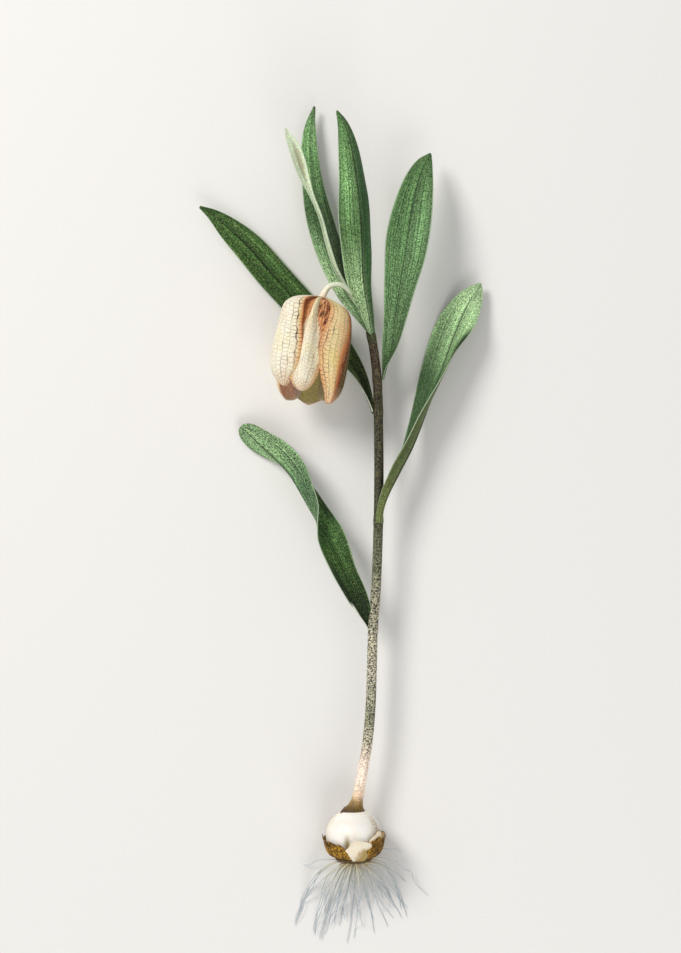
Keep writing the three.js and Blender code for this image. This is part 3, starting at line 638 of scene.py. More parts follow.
def tepal_finish(name, grounds, lines, inside, flank=0.0, slant=0.0):
    """A chequered net of fine lines. Its ground and its line strength change across, from left to right.

    The flank is the half width of the ridge's pale top at its base. The slant moves the keel right there.
    Across the cream ground, the darker orange edges, dark far halves and dark keel lines are painted shade,
    and the net is fainter in the pale middle as painted highlight.
    The orange flanks beside the ridge and their brown hatching are painted shade in the recess.
    """
    made = Finish(name, 0.48, 0.22)
    made.translucent(0.6, 1.6, (1.0, 0.85, 0.7))
    across, along = made.mark("across"), made.mark("along")
    aside, side = abs(across), across * 0.5 + 0.5
    sway = made.grid_noise(across * 5.0, along * 9.0, 3.0) - 0.5
    patches = made.grid_noise(across * 3.5, along * 8.0, 9.0)
    blush = made.grid_noise(across * 2.0, along * 4.0, 5.0)
    mottle = made.noise(made.place(), 1500.0, 2.0, 0.6)
    grid = made.point(along * NET_CELLS_ALONG + sway * 1.6, across * NET_ROWS + sway * 0.9)
    net = made.node(
        "ShaderNodeTexBrick",
        {"Vector": grid, "Scale": 1.0, "Mortar Size": 0.075, "Mortar Smooth": 0.5, "Brick Width": 1.0,
         "Row Height": 1.0},
        output="Fac",
    )
    shift = made.step(along, 0.3, 0.85, slant, 0.0) * made.step(side, 0.22, 0.6)
    # The ground ramp: the tepal's own cream, with painted shade in its darker, oranger edges and dark far
    # halves.
    ground = made.ramp(side - shift, grounds)
    ground = made.mix(made.step(blush, 0.5, 0.72, 0.0, 0.5), ground, BLUSH_TINT, "MULTIPLY")
    ground = made.mix(made.step(blush, 0.5, 0.28, 0.0, 0.5), ground, LEMON_TINT, "MULTIPLY")
    ground = made.mix(made.step(along, 0.84, 1.0, 0.0, 0.6), ground, TIP_PINK)
    if flank:
        wide = made.step(along, 0.22, 0.5, flank, 0.5) + made.step(along, 0.55, 0.8)
        flanks = made.step(aside / wide, 0.75, 1.25) * made.step(along, 0.42, 0.72, 1.0, 0.3)
        strokes = made.grid_noise(across * 24.0 + along * 26.0, along * 17.0, detail=1.0)
        shade_hatching = made.step(strokes, 0.47, 0.54) * flanks * made.step(across, -0.1, 0.1, 0.55, 1.0)
        ground = made.mix(made.step(along, 0.6, 0.1, 0.0, 0.9), ground, RIDGE_GOLD)
        # Painted shade in the recess beside the ridge: orange flanks with brown hatching strokes.
        ground = made.mix(flanks, ground, FLANK_SHADE_ORANGE)
        ground = made.mix(shade_hatching, ground, HATCH_SHADE_BROWN)
    ground = made.scaled(ground, made.step(mottle, 0.25, 0.75, 0.86, 1.1))
    # Painted highlight and shade: the net's lines are olive and faint in the pale middle, brown and strong
    # towards the edges.
    line = made.mix(made.step(aside, 0.4, 0.85), NET_OLIVE, NET_BROWN)
    line = made.mix(made.step(patches, 0.56, 0.66), line, NET_BLACK)
    strength = net * made.ramp(side, lines) * made.step(patches, 0.35, 0.6, 0.35, 1.0)
    outside = made.mix(strength, ground, line)
    within = made.scaled(inside, made.step(mottle, 0.2, 0.8, 0.8, 1.15))
    tip = made.step(along, 0.955, 0.985, 0.0, 0.8)
    rim = made.calc("MAXIMUM", made.step(aside, 0.7, 0.97, 0.0, 0.7), tip)
    within = made.mix(rim, within, RIM_CREAM)
    within = made.mix(net * 0.3, within, INNER_NET_RED)
    return made.finish(made.mix(made.mark("upper"), within, outside), mottle * 0.25 - net * 0.8, 0.2)


def stem_finish():
    """Pinkish white at the bulb, then grey beige, then dark brown, with a close speckle."""
    made = Finish("stem skin", 0.5)
    along, around = made.mark("along"), made.mark("around")
    speckle = made.noise(made.place(), 1600.0, 2.0, 0.8)
    streaks = made.grid_noise(around * 9.0, along * 26.0)
    coarse = made.step(along, 0.1, 0.18, 0.25, 1.0)
    deep = (made.step(speckle, 0.44, 0.56, 0.1, 2.2) - 1.0) * coarse + 1.0
    shade = deep * made.step(streaks, 0.3, 0.7, 0.86, 1.14)
    return made.finish(made.scaled(made.ramp(along, STEM_COLOURS), shade), speckle, 0.1)


def mottled_finish(name, stops, roughness, grain, shades, relief):
    """A colour that changes along the piece, with a fine mottle between two shades."""
    made = Finish(name, roughness)
    mottle = made.noise(made.place(), grain, 2.0)
    colour = made.scaled(made.ramp(made.mark("along"), stops), made.step(mottle, *shades))
    made.finish(colour, mottle, relief)
    return made


def scale_finish(name, ground):
    """Smooth ivory white flesh with faint lengthwise streaks, painted shade in its hollow and dotted painted
    shade on its right side.
    """
    made = Finish(name, 0.38)
    made.translucent(0.15, 1.5)
    place = made.place()
    streaks = made.noise(made.vector_calc("MULTIPLY", place, (900.0, 90.0, 900.0)), 1.0, 3.0)
    blotches = made.noise(place, 260.0, 2.0)
    dots = made.step(made.noise(place, 1900.0, 2.0, 0.6), 0.48, 0.58, 0.3, 1.0)
    colour = made.mix(made.step(streaks, 0.45, 0.8, 0.0, 0.3), ground, STREAK_TAN)
    colour = made.mix(made.step(blotches, 0.5, 0.8, 0.0, 0.35), colour, BLOTCH_BUFF)
    # Painted shade in the hollow of the lower front.
    colour = made.mix(made.mark("hollow"), colour, HOLLOW_SHADE_OLIVE)
    # Dotted brown painted shade on the bulb's right side.
    colour = made.mix(made.mark("side_shade") * dots, colour, SIDE_SHADE_BROWN)
    return made.finish(colour, streaks, 0.05)


def tunic_finish(name, ground, dark, torn):
    """Dry coat: curly dark wrinkles over brown, a dark lower edge and a pale torn band."""
    made = Finish(name, 0.75, 0.15)
    place, along = made.place(), made.mark("along")
    patches = made.noise(place, 300.0, 2.0)
    curls = abs(made.noise(place, 800.0, 3.0, 0.6) - 0.5)
    grain = made.noise(place, 2200.0, 2.0, 0.7)
    colour = made.mix(made.step(patches, 0.45, 0.6, 0.0, 0.9), ground, made.scaled(ground, 1.9))
    colour = made.mix(made.step(patches, 0.5, 0.36, 0.0, 0.85), colour, made.scaled(ground, 0.3))
    colour = made.mix(made.step(curls, 0.016, 0.06), dark, colour)
    colour = made.scaled(colour, made.step(grain, 0.25, 0.75, 0.7, 1.25))
    colour = made.mix(made.step(along, 0.1, 0.0, 0.0, 0.85), colour, COAT_EDGE_BLACK)
    colour = made.mix(made.mark("torn"), colour, torn)
    side = abs(made.mark("across") - 0.5)
    rim = made.calc("MAXIMUM", made.step(side, 0.47, 0.495), made.step(along, 0.955, 0.985))
    colour = made.mix(rim * 0.7, colour, dark)
    return made.finish(colour, curls + grain * 0.15, 0.5)


def flap_finish():
    """Torn inner coat: white and smooth, with tan painted shade towards its lower right corner."""
    made = Finish("torn flap white", 0.55)
    soft = made.noise(made.place(), 350.0, 3.0)
    shaded_corner = made.mark("across") * 0.9 - made.mark("along") + soft * 0.6
    colour = made.mix(made.step(soft, 0.4, 0.7, 0.0, 0.35), FLAP_WHITE, FLAP_BUFF)
    # Painted shade: tan towards the lower right corner.
    colour = made.mix(made.step(shaded_corner, 0.2, 0.6, 0.0, 0.95), colour, FLAP_SHADE_TAN)
    return made.finish(colour, soft, 0.3)


def stalk_finish():
    """Pale green, rosy at the flower's neck."""
    made = mottled_finish("flower stalk skin", STALK_COLOURS, 0.45, 1500.0, (0.3, 0.7, 0.82, 1.12), 0.08)
    return made.material


def root_finish():
    """Pale, yellowish where the roots leave the plate, and a little translucent; their bluish grey is painted
    light, a bluish cast seen through them.
    """
    made = mottled_finish("root skin", ROOT_AND_BACKDROP_COLOURS, 0.45, 1800.0, (0.25, 0.75, 0.9, 1.08), 0.05)
    made.translucent(0.2, 0.5)
    return made.material


def plain_finish(name, ground, roughness, grain):
    """One soft mottled colour for a small piece."""
    made = Finish(name, roughness)
    mottle = made.noise(made.place(), grain, 3.0, 0.6)
    return made.finish(made.scaled(ground, made.step(mottle, 0.25, 0.75, 0.72, 1.22)), mottle, 0.1)


# Rods along lines, by geometry nodes

def rod_tree():
    """Nodes that sweep a round section along curves, wave the curves and roughen the surface."""
    tree = bpy.data.node_groups.new("rod along a line", "GeometryNodeTree")
    kinds = {
        "Geometry": "Geometry", "Sides": "Int", "Wave": "Float", "Wave size": "Float", "Relief": "Float",
        "Relief size": "Float", "Seed": "Float", "Finish": "Material",
    }
    for label, kind in kinds.items():
        tree.interface.new_socket(label, in_out="INPUT", socket_type="NodeSocket" + kind)
    tree.interface.new_socket("Geometry", in_out="OUTPUT", socket_type="NodeSocketGeometry")
    graph = Graph(tree)
    sources = tree.nodes.new("NodeGroupInput").outputs
    given = {label: Reading(graph, sources[label]) for label in kinds}

    def shake(size, amount):
        """A noise vector about zero, of the given size and amount."""
        noise = graph.node(
            "ShaderNodeTexNoise",
            {"Vector": graph.node("GeometryNodeInputPosition"), "W": given["Seed"],
             "Scale": graph.calc("DIVIDE", 1.0, size), "Detail": 2.0},
            output="Color", noise_dimensions="4D",
        )
        return graph.scaled(graph.vector_calc("SUBTRACT", noise, (0.5, 0.5, 0.5)), amount)

    def share_along():
        return graph.node("GeometryNodeSplineParameter", output="Factor")

    def marked(geometry, name):
        """The curve with each point's share of its length kept under a name."""
        return graph.node(
            "GeometryNodeStoreNamedAttribute", {"Geometry": geometry, "Name": name, "Value": share_along()},
            data_type="FLOAT", domain="POINT",
        )

    wave = shake(given["Wave size"], share_along() * given["Wave"])
    level = graph.vector_calc("MULTIPLY", wave, (1.0, 1.0, 0.0))
    waved = graph.node("GeometryNodeSetPosition", {"Geometry": given["Geometry"], "Offset": level})
    circle = graph.node("GeometryNodeCurvePrimitiveCircle", {"Resolution": given["Sides"], "Radius": 1.0})
    swept = graph.node(
        "GeometryNodeCurveToMesh",
        {"Curve": marked(waved, "along"), "Profile Curve": marked(circle, "around"), "Fill Caps": True,
         "Scale": graph.node("GeometryNodeInputRadius")},
    )
    relief = shake(given["Relief size"], given["Relief"])
    rough = graph.node("GeometryNodeSetPosition", {"Geometry": swept, "Offset": relief})
    smooth = graph.node("GeometryNodeSetShadeSmooth", {0: rough})
    real = graph.node("GeometryNodeRealizeInstances", {0: smooth})
    painted = graph.node("GeometryNodeSetMaterial", {"Geometry": real, "Material": given["Finish"]})
    graph.feed(tree.nodes.new("NodeGroupOutput").inputs[0], painted)
    return tree


ROD_TREE = rod_tree()


def settle(holder, inputs, name):
    """Runs the rod tree on an object and keeps its result as a plain mesh piece."""
    modifier = holder.modifiers.new("nodes", "NODES")
    modifier.node_group = ROD_TREE
    for item in ROD_TREE.interface.items_tree:
        if item.in_out == "INPUT" and item.name in inputs:
            modifier[item.identifier] = inputs[item.name]
    bpy.context.scene.collection.objects.link(holder)
    bpy.context.view_layer.update()
    evaluated = holder.evaluated_get(bpy.context.evaluated_depsgraph_get())
    mesh = bpy.data.meshes.new_from_object(evaluated)
    bpy.data.objects.remove(holder)
    mesh.name = name
    piece = bpy.data.objects.new(name, mesh)
    bpy.context.scene.collection.objects.link(piece)
    return piece


def rods(name, lines, finish, sides=12, wave=0.0, wave_size=6.0, relief=0.0, relief_size=1.0, seed=1.0):
    """One piece of round rods: each line is points in millimetres and a radius for each point."""
    curve = bpy.data.curves.new(name + " line", "CURVE")
    curve.dimensions = "3D"
    for points, radii in lines:
        spline = curve.splines.new("POLY")
        spline.points.add(len(points) - 1)
        for knot, place, radius in zip(spline.points, points, radii):
            knot.co = (*(np.asarray(place) * MM), 1)
            knot.radius = radius * MM
    holder = bpy.data.objects.new(name + " line", curve)
    inputs = {
        "Sides": sides, "Wave": wave * MM, "Wave size": wave_size * MM, "Relief": relief * MM,
        "Relief size": relief_size * MM, "Seed": seed, "Finish": finish,
    }
    return settle(holder, inputs, name)


def tapered(radii, both_ends=False):
    """Radii closed down over the last points, and over the first ones too where both ends are free."""
    radii = np.array(radii, float)
    for share, index in ((0.05, 0), (0.55, 1), (0.86, 2)):
        radii[-1 - index] *= share
        if both_ends:
            radii[index] *= share
    return radii


# Pieces

def leaf(name, shape, finish):
    """A blade: each half leaves the midrib at part of its fold and curls up to the whole of it."""
    shares = np.linspace(0, 1, LEAF_STATIONS + 1)
    centre, along, right, over = frames_on(shape["line"], shares)
    half_width, roll, left_fold, right_fold = read_table(shape["sections"], shares).T
    turned = np.radians(roll)[:, None]
    across = right * np.cos(turned) + over * np.sin(turned)
    rise = over * np.cos(turned) - right * np.sin(turned)
    out = np.linspace(-1, 1, 2 * LEAF_HALF_COLUMNS + 1)
    fold = np.radians(np.maximum(np.where(out < 0, left_fold[:, None], right_fold[:, None]), 2))
    start = fold * LEAF_CREASE
    bend = fold - start
    reach = half_width[:, None] / bend
    here = start + bend * np.abs(out)
    aside = np.sign(out) * reach * (np.sin(here) - np.sin(start))
    lift = reach * (np.cos(start) - np.cos(here))
    girth = np.sin(np.pi * shares)[:, None]
    veins = VEIN_HEIGHT * np.cos(2 * np.pi * VEINS_PER_HALF * np.abs(out)) * girth
    seed = sum(ord(letter) for letter in name)
    ripple = RIPPLE_HEIGHT * np.sin(shares * 23 + seed)[:, None] * np.abs(out) ** 3 * np.sign(out) * girth
    height = (lift + veins + ripple)[..., None]
    middle = centre[:, None] + across[:, None] * aside[..., None] + rise[:, None] * height
    body = lerp(*LEAF_HALF_THICKNESS, np.abs(out) ** 2)[None, :] * lerp(0.6, 1, girth)
    groove = GROOVE_DEPTH * np.exp(-(out / GROOVE_WIDTH) ** 2)[None, :] * girth
    keel = KEEL_DEPTH * np.exp(-(out / KEEL_WIDTH) ** 2)[None, :] * girth
    marks = {"across": out[None, :], "along": shares[:, None]}
    return sheet_piece(name + "_blade", middle, body - groove, body + keel, marks, finish)


flower_axis = np.array([
    -math.sin(math.radians(FLOWER_LEAN)) * math.cos(math.radians(FLOWER_LIFT)),
    -math.cos(math.radians(FLOWER_LEAN)) * math.cos(math.radians(FLOWER_LIFT)),
    math.sin(math.radians(FLOWER_LIFT)),
])
flower_front = unit(UP - flower_axis * flower_axis[2])
flower_right = np.cross(flower_front, flower_axis)


def flower_point(distance, azimuth, radius):
    """A point in the flower: distance along its axis from the neck, azimuth from the front, and radius."""
    distance, azimuth, radius = np.broadcast_arrays(distance, np.radians(azimuth), radius)
    return (
        NECK
        + distance[..., None] * flower_axis
        + (radius * np.cos(azimuth))[..., None] * flower_front
        + (radius * np.sin(azimuth))[..., None] * flower_right
    )


def outer_drop(u, shares):
    """A dome's share of the radius, lower towards both edges."""
    return 1 - OUTER_EDGE_DROP * u**2 + 0 * shares


def inner_drop(u, shares):
    """A ridge's share of the radius, between two sunk flanks, that widens into a shell."""
    tables = (INNER_FLANK, INNER_RIB, INNER_RIB_LEFT)
    flank, right, left = (read_table(rows, shares.ravel()) for rows in tables)
    rib = np.where(u < 0, left, right)
    return flank + (1 - flank) * np.cos(np.pi / 2 * np.minimum(1, np.abs(u) / rib)) ** 2


def rounded(shares, shape):
    """The share of the width left at each share of the length, for a round tip."""
    begin, fullness, bluntness = shape
    past = np.clip((shares - begin) / (1 - begin), 0, 1) ** fullness
    return np.maximum((1 - past) ** bluntness, 0.02)


def tepal(name, finish):
    """One tepal with a round tip, its edges thin and a little waved."""
    kind = TEPALS[name]
    shares = 1 - (1 - np.linspace(0, 1, TEPAL_STATIONS + 1)) ** TEPAL_CROWDING
    distance, radius, half_angle = (column[:, None] for column in read_table(kind["rows"], shares).T)
    distance = distance * kind.get("length", 1)
    shares = shares[:, None]
    u = np.linspace(1, -1, TEPAL_COLUMNS + 1)[None, :]
    left, right = (
        rounded(shares, kind.get(side + "_round", kind["round"]))
        * read_table(kind.get(side + "_margin", FULL_MARGIN), shares.ravel())
        for side in ("left", "right")
    )
    turn = u * half_angle * np.where(u < 0, left, right)
    azimuth = kind["azimuth"] + turn
    girth = np.sin(np.pi * shares)
    drop = outer_drop if "outer" in name else inner_drop
    wave = TEPAL_WAVE * np.sin(shares * 17 + 1.3 * kind["azimuth"]) * np.abs(u) ** 4 * girth
    quilt = TEPAL_QUILT * np.cos(u * NET_ROWS * 2 * np.pi) * girth
    radius = radius * kind.get("width", 1) * drop(u, shares) + quilt + wave
    middle = flower_point(distance, azimuth, radius)
    body = lerp(*TEPAL_HALF_THICKNESS, np.abs(u) ** 3) * lerp(0.7, 1, girth)
    marks = {"across": u, "along": shares}
    return sheet_piece(name + "_petal", middle, body, body, marks, finish)


def bulb_radius(y):
    """The bulb's radius at places along the plant, drawn in past both ends of its profile."""
    length = BULB_TOP - BULB_BASE
    rows = [((along - BULB_BASE) / length, radius) for along, radius in BULB_PROFILE]
    shares = np.clip((np.ravel(y) - BULB_BASE) / length, rows[0][0] / 2, (1 + rows[-1][0]) / 2)
    return read_table([(0, 1.2), *rows, (1, 0.6)], shares)[:, 0].reshape(np.shape(y))


def bulb_point(turn, y, radius):
    """A point round the bulb's line: turn 0 faces up, and a positive turn goes to the right."""
    turn, y, radius = np.broadcast_arrays(np.radians(turn), y, radius)
    return np.stack([radius * np.sin(turn), y, AXIS_HEIGHT + radius * np.cos(turn)], axis=-1)


def bulb_surface(turn, y, outset):
    """A point off the bulb's surface, set out square to it."""
    turn, y, outset = np.broadcast_arrays(turn, y, outset)
    slope = (bulb_radius(y + 0.1) - bulb_radius(y - 0.1)) / 0.2
    shift = outset / np.hypot(1, slope)
    return bulb_point(turn, y - slope * shift, bulb_radius(y) + shift)


def bulb_scale(name, turn, finish):
    """Half of the bulb, rounded where it meets the other half, with a hollow in its lower front."""
    spacing = 0.5 - 0.5 * np.cos(np.linspace(0, np.pi, SCALE_LEVELS))
    levels = lerp(BULB_PROFILE[0][0], BULB_PROFILE[-1][0], spacing)
    turns = turn + np.linspace(-90, 90, SCALE_COLUMNS)
    y, angle = levels[:, None], turns[None, :]
    surface = bulb_surface(angle, y, 0.0)
    edge = np.abs(np.abs(angle - turn) - 90) * np.pi / 180 * bulb_radius(y)
    rounding = SEAM_ROUNDING * np.exp(-(edge / SEAM_REACH) ** 2)
    hollow = np.exp(-((angle - HOLLOW_TURN) / HOLLOW_WIDTH) ** 2) * smoothstep(-y, -3.5, 1.5)
    # Painted shade: a patch on the bulb's right side, away from the light.
    side_shade = np.exp(-((angle - SIDE_SHADE_TURN) / SIDE_SHADE_WIDTH) ** 2 - ((y - SIDE_SHADE_PLACE) / SIDE_SHADE_LENGTH) ** 2)
    inward = surface - bulb_point(angle, y, 0.0)
    surface = surface - unit(inward) * (rounding + HOLLOW_DEPTH * hollow)[..., None]
    closed = []
    marks = {"hollow": [], "side_shade": []}
    for row, level in enumerate(levels):
        inner = bulb_point(turn, level, SEAM_GAP)
        side = surface[row, [0, -1]]
        wall = [lerp(side[1], inner, s) for s in (0.35, 0.8)] + [lerp(side[0], inner, s) for s in (0.8, 0.35)]
        closed.append(np.concatenate([surface[row], wall]))
        for mark, values in (("hollow", hollow), ("side_shade", side_shade)):
            marks[mark].append(np.concatenate([values[row], np.zeros(4)]))
    rings = np.array(closed)
    start, end = rings[0].mean(axis=0), rings[-1].mean(axis=0)
    start[1] = BULB_BASE
    end[1] = BULB_TOP - 0.2
    marks = {mark: np.array(values) for mark, values in marks.items()}
    return ring_piece(name, rings, start, end, marks, finish)


COAT_COLUMNS = 100
COAT_ROWS = 64
COAT_WAVES = 9
COAT_HALF_THICKNESS = 0.15
TEAR_HEIGHT = 0.4
SIDE_SWAY = 1.4
LOWEST_COAT = 0.2
COAT_SHAPE = {"bottom": -6.9, "outset": 0.85, "wrinkle": 0.22}
COATS = {
    "tunic_left": {
        "left": [(0, -125), (1, -122)], "right": [(0, -2), (0.5, -7), (0.8, -12), (1, -17)],
        "top": [(0, 0.4), (0.25, 0.3), (0.33, 1.4), (0.4, 0.2), (0.5, -0.4), (0.65, -0.5), (0.8, -0.9),
                (0.92, -1.5), (1, -2.4)],
        "seed": 3, "torn": 0.01, "curl": 0.35,
    },
    "tunic_right": {
        "left": [(0, 28), (0.4, 26), (0.7, 23), (1, 27)], "right": [(0, 125), (1, 121)],
        "top": [(0, 0.4), (0.08, 1.6), (0.18, 2.8), (0.3, 3.4), (0.5, 2.4), (0.7, 0.9), (1, 0.4)],
        "seed": 5, "torn": 2.6, "curl": 0.3,
    },
    "tunic_back": {
        "left": [(0, 129), (1, 124)], "right": [(0, 231), (1, 233)],
        "top": [(0, 3.4), (0.2, 4.1), (0.45, 3.2), (0.7, 4.2), (1, 3.3)],
        "seed": 9, "torn": 0.8, "curl": 0.1,
    },
    "bulb_flap": {
        "left": [(0, -2), (0.3, -8), (0.5, -13), (0.62, -17), (0.75, -12), (0.88, -8), (1, -6)],
        "right": [(0, 25), (0.2, 29), (0.4, 28), (0.58, 25), (0.72, 32), (0.88, 33), (1, 29)],
        "top": [(0, -0.5), (0.3, 0.3), (0.6, 0.3), (1, -0.4)],
        "bottom": -7.2, "seed": 11, "torn": 0.3, "curl": 0.3, "outset": 1.25, "wrinkle": 0.07,
    },
}


def coat(name, finish):
    """A torn piece of the dry coat over the bulb: wrinkled, with a ragged upper edge that curls away."""
    shape = {**COAT_SHAPE, **COATS[name]}
    across = np.linspace(0, 1, COAT_COLUMNS + 1)[None, :]
    rise = np.linspace(0, 1, COAT_ROWS + 1)[:, None]
    draw = np.random.default_rng(shape["seed"])
    waves = [(draw.uniform(4, 40), draw.uniform(0, 6.3)) for _ in range(COAT_WAVES)]
    tear = sum(np.sin(across * pace + phase) for pace, phase in waves) / COAT_WAVES
    top = read_table(shape["top"], across.ravel())[:, 0][None, :] + TEAR_HEIGHT * tear
    y = lerp(shape["bottom"], top, rise)
    left, right = (read_table(shape[side], rise.ravel()) for side in ("left", "right"))
    sway = sum(np.sin(rise * pace * 0.5 + phase) for pace, phase in waves[:4]) / 4
    turn = lerp(left, right, across) + SIDE_SWAY * sway * (1 - 2 * across)
    wrinkles = sum(
        np.sin(across * pace * 1.6 + 2.2 * np.sin(rise * pace * 0.3 + phase) + phase) for pace, phase in waves
    ) / COAT_WAVES
    sides = smoothstep(np.abs(2 * across - 1), 0.86, 1.0)
    curled = np.maximum(smoothstep(rise, 0.7, 1.0), 0.5 * sides)
    lift = shape["outset"] + shape["wrinkle"] * wrinkles + shape["curl"] * curled
    lift = lift - 0.3 * (1 - smoothstep(rise, 0, 0.2))
    middle = bulb_surface(turn, y, lift)
    middle[..., 2] = np.maximum(middle[..., 2], LOWEST_COAT)
    torn = 1 - smoothstep(top - y + 0.5 * wrinkles, shape["torn"] * 0.55, shape["torn"])
    if name == "tunic_right":
        torn = torn * (1 - smoothstep(across, 0.28, 0.42)) + 0.2 * torn
    marks = {"torn": torn, "across": across, "along": rise}
    return sheet_piece(name + "_coat", middle, COAT_HALF_THICKNESS, COAT_HALF_THICKNESS, marks, finish)


def root_line(index, draw):
    """One root: out from the plate, then settling to its side's lean and down to the surface."""
    spread = math.sqrt((index + 0.5) / ROOT_COUNT)
    start = bulb_point(ROOT_TURN * index, ROOT_START, ROOT_SPREAD * spread)
    side = start[0] / ROOT_SPREAD
    hand = "left" if side < 0.12 else "right"
    reach = lerp(*ROOT_LENGTH[hand], draw()) / ROOT_STEPS
    lean = math.radians(lerp(*ROOT_LEAN[hand], draw()))
    settling = lerp(*ROOT_SETTLING[hand], draw())
    fan = math.radians(float(np.clip(lerp(*ROOT_FAN, draw()) * side, -WIDEST_FAN, WIDEST_FAN)))
    points = [start]
    for step in range(1, ROOT_STEPS + 1):
        last = points[-1]
        height = max(ROOT_RADIUS + 0.08, last[2] - reach * lerp(0.1, 1.1, step / ROOT_STEPS))
        points.append(np.array([last[0] + reach * math.sin(fan), last[1] - reach * math.cos(fan), height]))
        fan = lerp(fan, lean, settling)
    return points


# Roots that stand out in the view, as points right of and above the bulb's middle
LONG_ROOTS = [
    [(-4.6, -8.2), (-8, -8.5), (-12, -9), (-14.6, -10.1), (-16.9, -11.6), (-19.5, -11.8)],
    [(4.8, -8), (7.6, -7.2), (10.1, -5.5), (13.5, -5.3), (16.5, -5.6), (18.2, -7)],
    [(5, -8), (8.8, -7.6), (13.5, -8.6), (16, -9.4), (17.9, -11.6), (19.8, -12.9), (21.6, -13.9),
     (22.5, -16.9), (23.6, -19.1), (26, -21.4), (28.6, -23.6)],
    [(4.4, -8.3), (7.5, -8.5), (11.6, -10.1), (12.8, -13.1), (15.4, -16.5), (16, -19.5), (17.3, -23.3),
     (19.8, -29.8)],
    [(-4.2, -8.4), (-7.4, -9.5), (-12.1, -12.6), (-14.6, -16.9), (-15.9, -20.6), (-18.4, -23.6),
     (-19.3, -28.1), (-21.5, -33.2)],
    [(-4.5, -9.6), (-9.7, -14.5), (-11.6, -19.5), (-11.8, -24.4), (-14, -31.4), (-14.3, -38.3)],
    [(-3.2, -9.8), (-7.1, -15.8), (-10.6, -20.6), (-11.2, -25), (-12.9, -30.6)],
    [(2.4, -9.6), (3.2, -16.9), (3.2, -22), (1.5, -27), (0.9, -32.4)],
    [(5, -9.4), (7.1, -17.6), (9.8, -20.6), (13.5, -23.9), (13.5, -28.2)],
    [(-2.4, -9.6), (-5.2, -19.5), (-6, -27), (-9, -35.6)],
    [(0, -9.8), (-1.8, -18.4), (-4.1, -26.3), (-3.4, -33)],
    [(1.2, -9.8), (0, -20), (1.6, -28), (3.8, -35.4)],
    [(4, -9.5), (9, -15.2), (11.2, -22), (16.4, -28.6)],
]


def roots(finish):
    """The frame's roots, waved and tapered, with the long ones and finer ones between them."""
    draw = random_draw(ROOT_SEED)
    shares = np.linspace(0, 1, 61)
    lines = []

    def grow(knots, start_radius, end_radius):
        points, _ = smooth_line(knots, shares)
        lines.append((points, tapered(lerp(start_radius, end_radius, shares ** 0.7))))

    for index in range(ROOT_COUNT):
        grow(root_line(index, draw), *ROOT_RADII)
    for knots in LONG_ROOTS:
        heights = lerp(AXIS_HEIGHT + 2, 0.9, smoothstep(np.linspace(0, 1, len(knots)), -0.35, 1))
        grow([(x, y, z) for (x, y), z in zip(knots, heights)], *LONG_ROOT_RADII)
    fine = np.random.default_rng(FINE_ROOT_SEED)
    for _ in range(FINE_ROOT_COUNT):
        x, lean, length = fine.uniform(-5, 5), fine.uniform(-0.5, 0.5), fine.uniform(8, 24)
        start, end = fine.uniform(8, 13), fine.uniform(1, 7)
        steps = np.linspace(0, 1, 5)
        bend = fine.uniform(-2, 2) * np.sin(np.pi * steps)
        sideways = x * (1 + 0.8 * steps) + lean * length * steps + bend
        knots = zip(sideways, -9 - length * steps, lerp(start, end, steps))
        grow(list(knots), *FINE_ROOT_RADII)
    return rods(
        "root_fibres", lines, finish, sides=8, wave=1.9, wave_size=6.0, relief=0.05, relief_size=0.9,
        seed=3.0,
    )


def basal_plate(finish):
    """The short brown disc under the bulb that the roots grow from."""
    sides = 48
    turns = np.linspace(0, 360, sides, endpoint=False)[None, :]
    levels = np.linspace(0, 1, 13)
    table = [(i / (len(PLATE_PROFILE) - 1), y, radius) for i, (y, radius) in enumerate(PLATE_PROFILE)]
    y, radius = (column[:, None] for column in read_table(table, levels).T)
    lumps = 0.14 * np.sin(np.radians(turns) * 11 + 3 * y) + 0.1 * np.sin(np.radians(turns) * 23)
    rings = bulb_point(turns, y + 0 * turns, radius + lumps)
    return ring_piece("basal_plate", rings, bulb_point(0, -6.8, 0), bulb_point(0, -9.8, 0), {}, finish)


LEAF_HEIGHTS = (79, 119, 160, 172, 188)
NODE_SWELL = 0.16
NODE_REACH = 1.6


def stem(finish):
    """The stem, flared over the bulb's top, with faint rings where leaves leave it."""
    shares = np.linspace(0, 1, 360) ** 1.3
    points, _ = smooth_line(STEM_LINE, shares)
    radii = read_table(STEM_GIRTH, shares)[:, 0]
    for leaf_height in LEAF_HEIGHTS:
        radii = radii + NODE_SWELL * np.exp(-((points[:, 1] - leaf_height) / NODE_REACH) ** 2)
    return rods("stem_rod", [(points, radii)], finish, sides=36, relief=0.02, relief_size=1.6, seed=5.0)


def pedicel(finish):
    """The curved flower stalk, widened into the flower's neck."""
    shares = np.linspace(0, 1, 90)
    knots = [*PEDICEL_LINE, tuple(NECK), tuple(flower_point(0.6, 0, 0.0))]
    points, _ = smooth_line(knots, shares)
    radii = read_table(PEDICEL_GIRTH, shares)[:, 0]
    lines = [(points, tapered(radii))]
    return rods("pedicel_rod", lines, finish, sides=24, relief=0.06, relief_size=1.2, seed=8.0)


STRAIGHT_POINTS = 14
STAMEN_COUNT = 6
STAMEN_TURN = 22


def straight(start, end, start_radius, end_radius):
    """A straight line of points between two flower points, with its radii."""
    shares = np.linspace(0, 1, STRAIGHT_POINTS)[:, None]
    points = lerp(flower_point(*start), flower_point(*end), shares)
    return points, tapered(lerp(start_radius, end_radius, shares[:, 0]), both_ends=True)


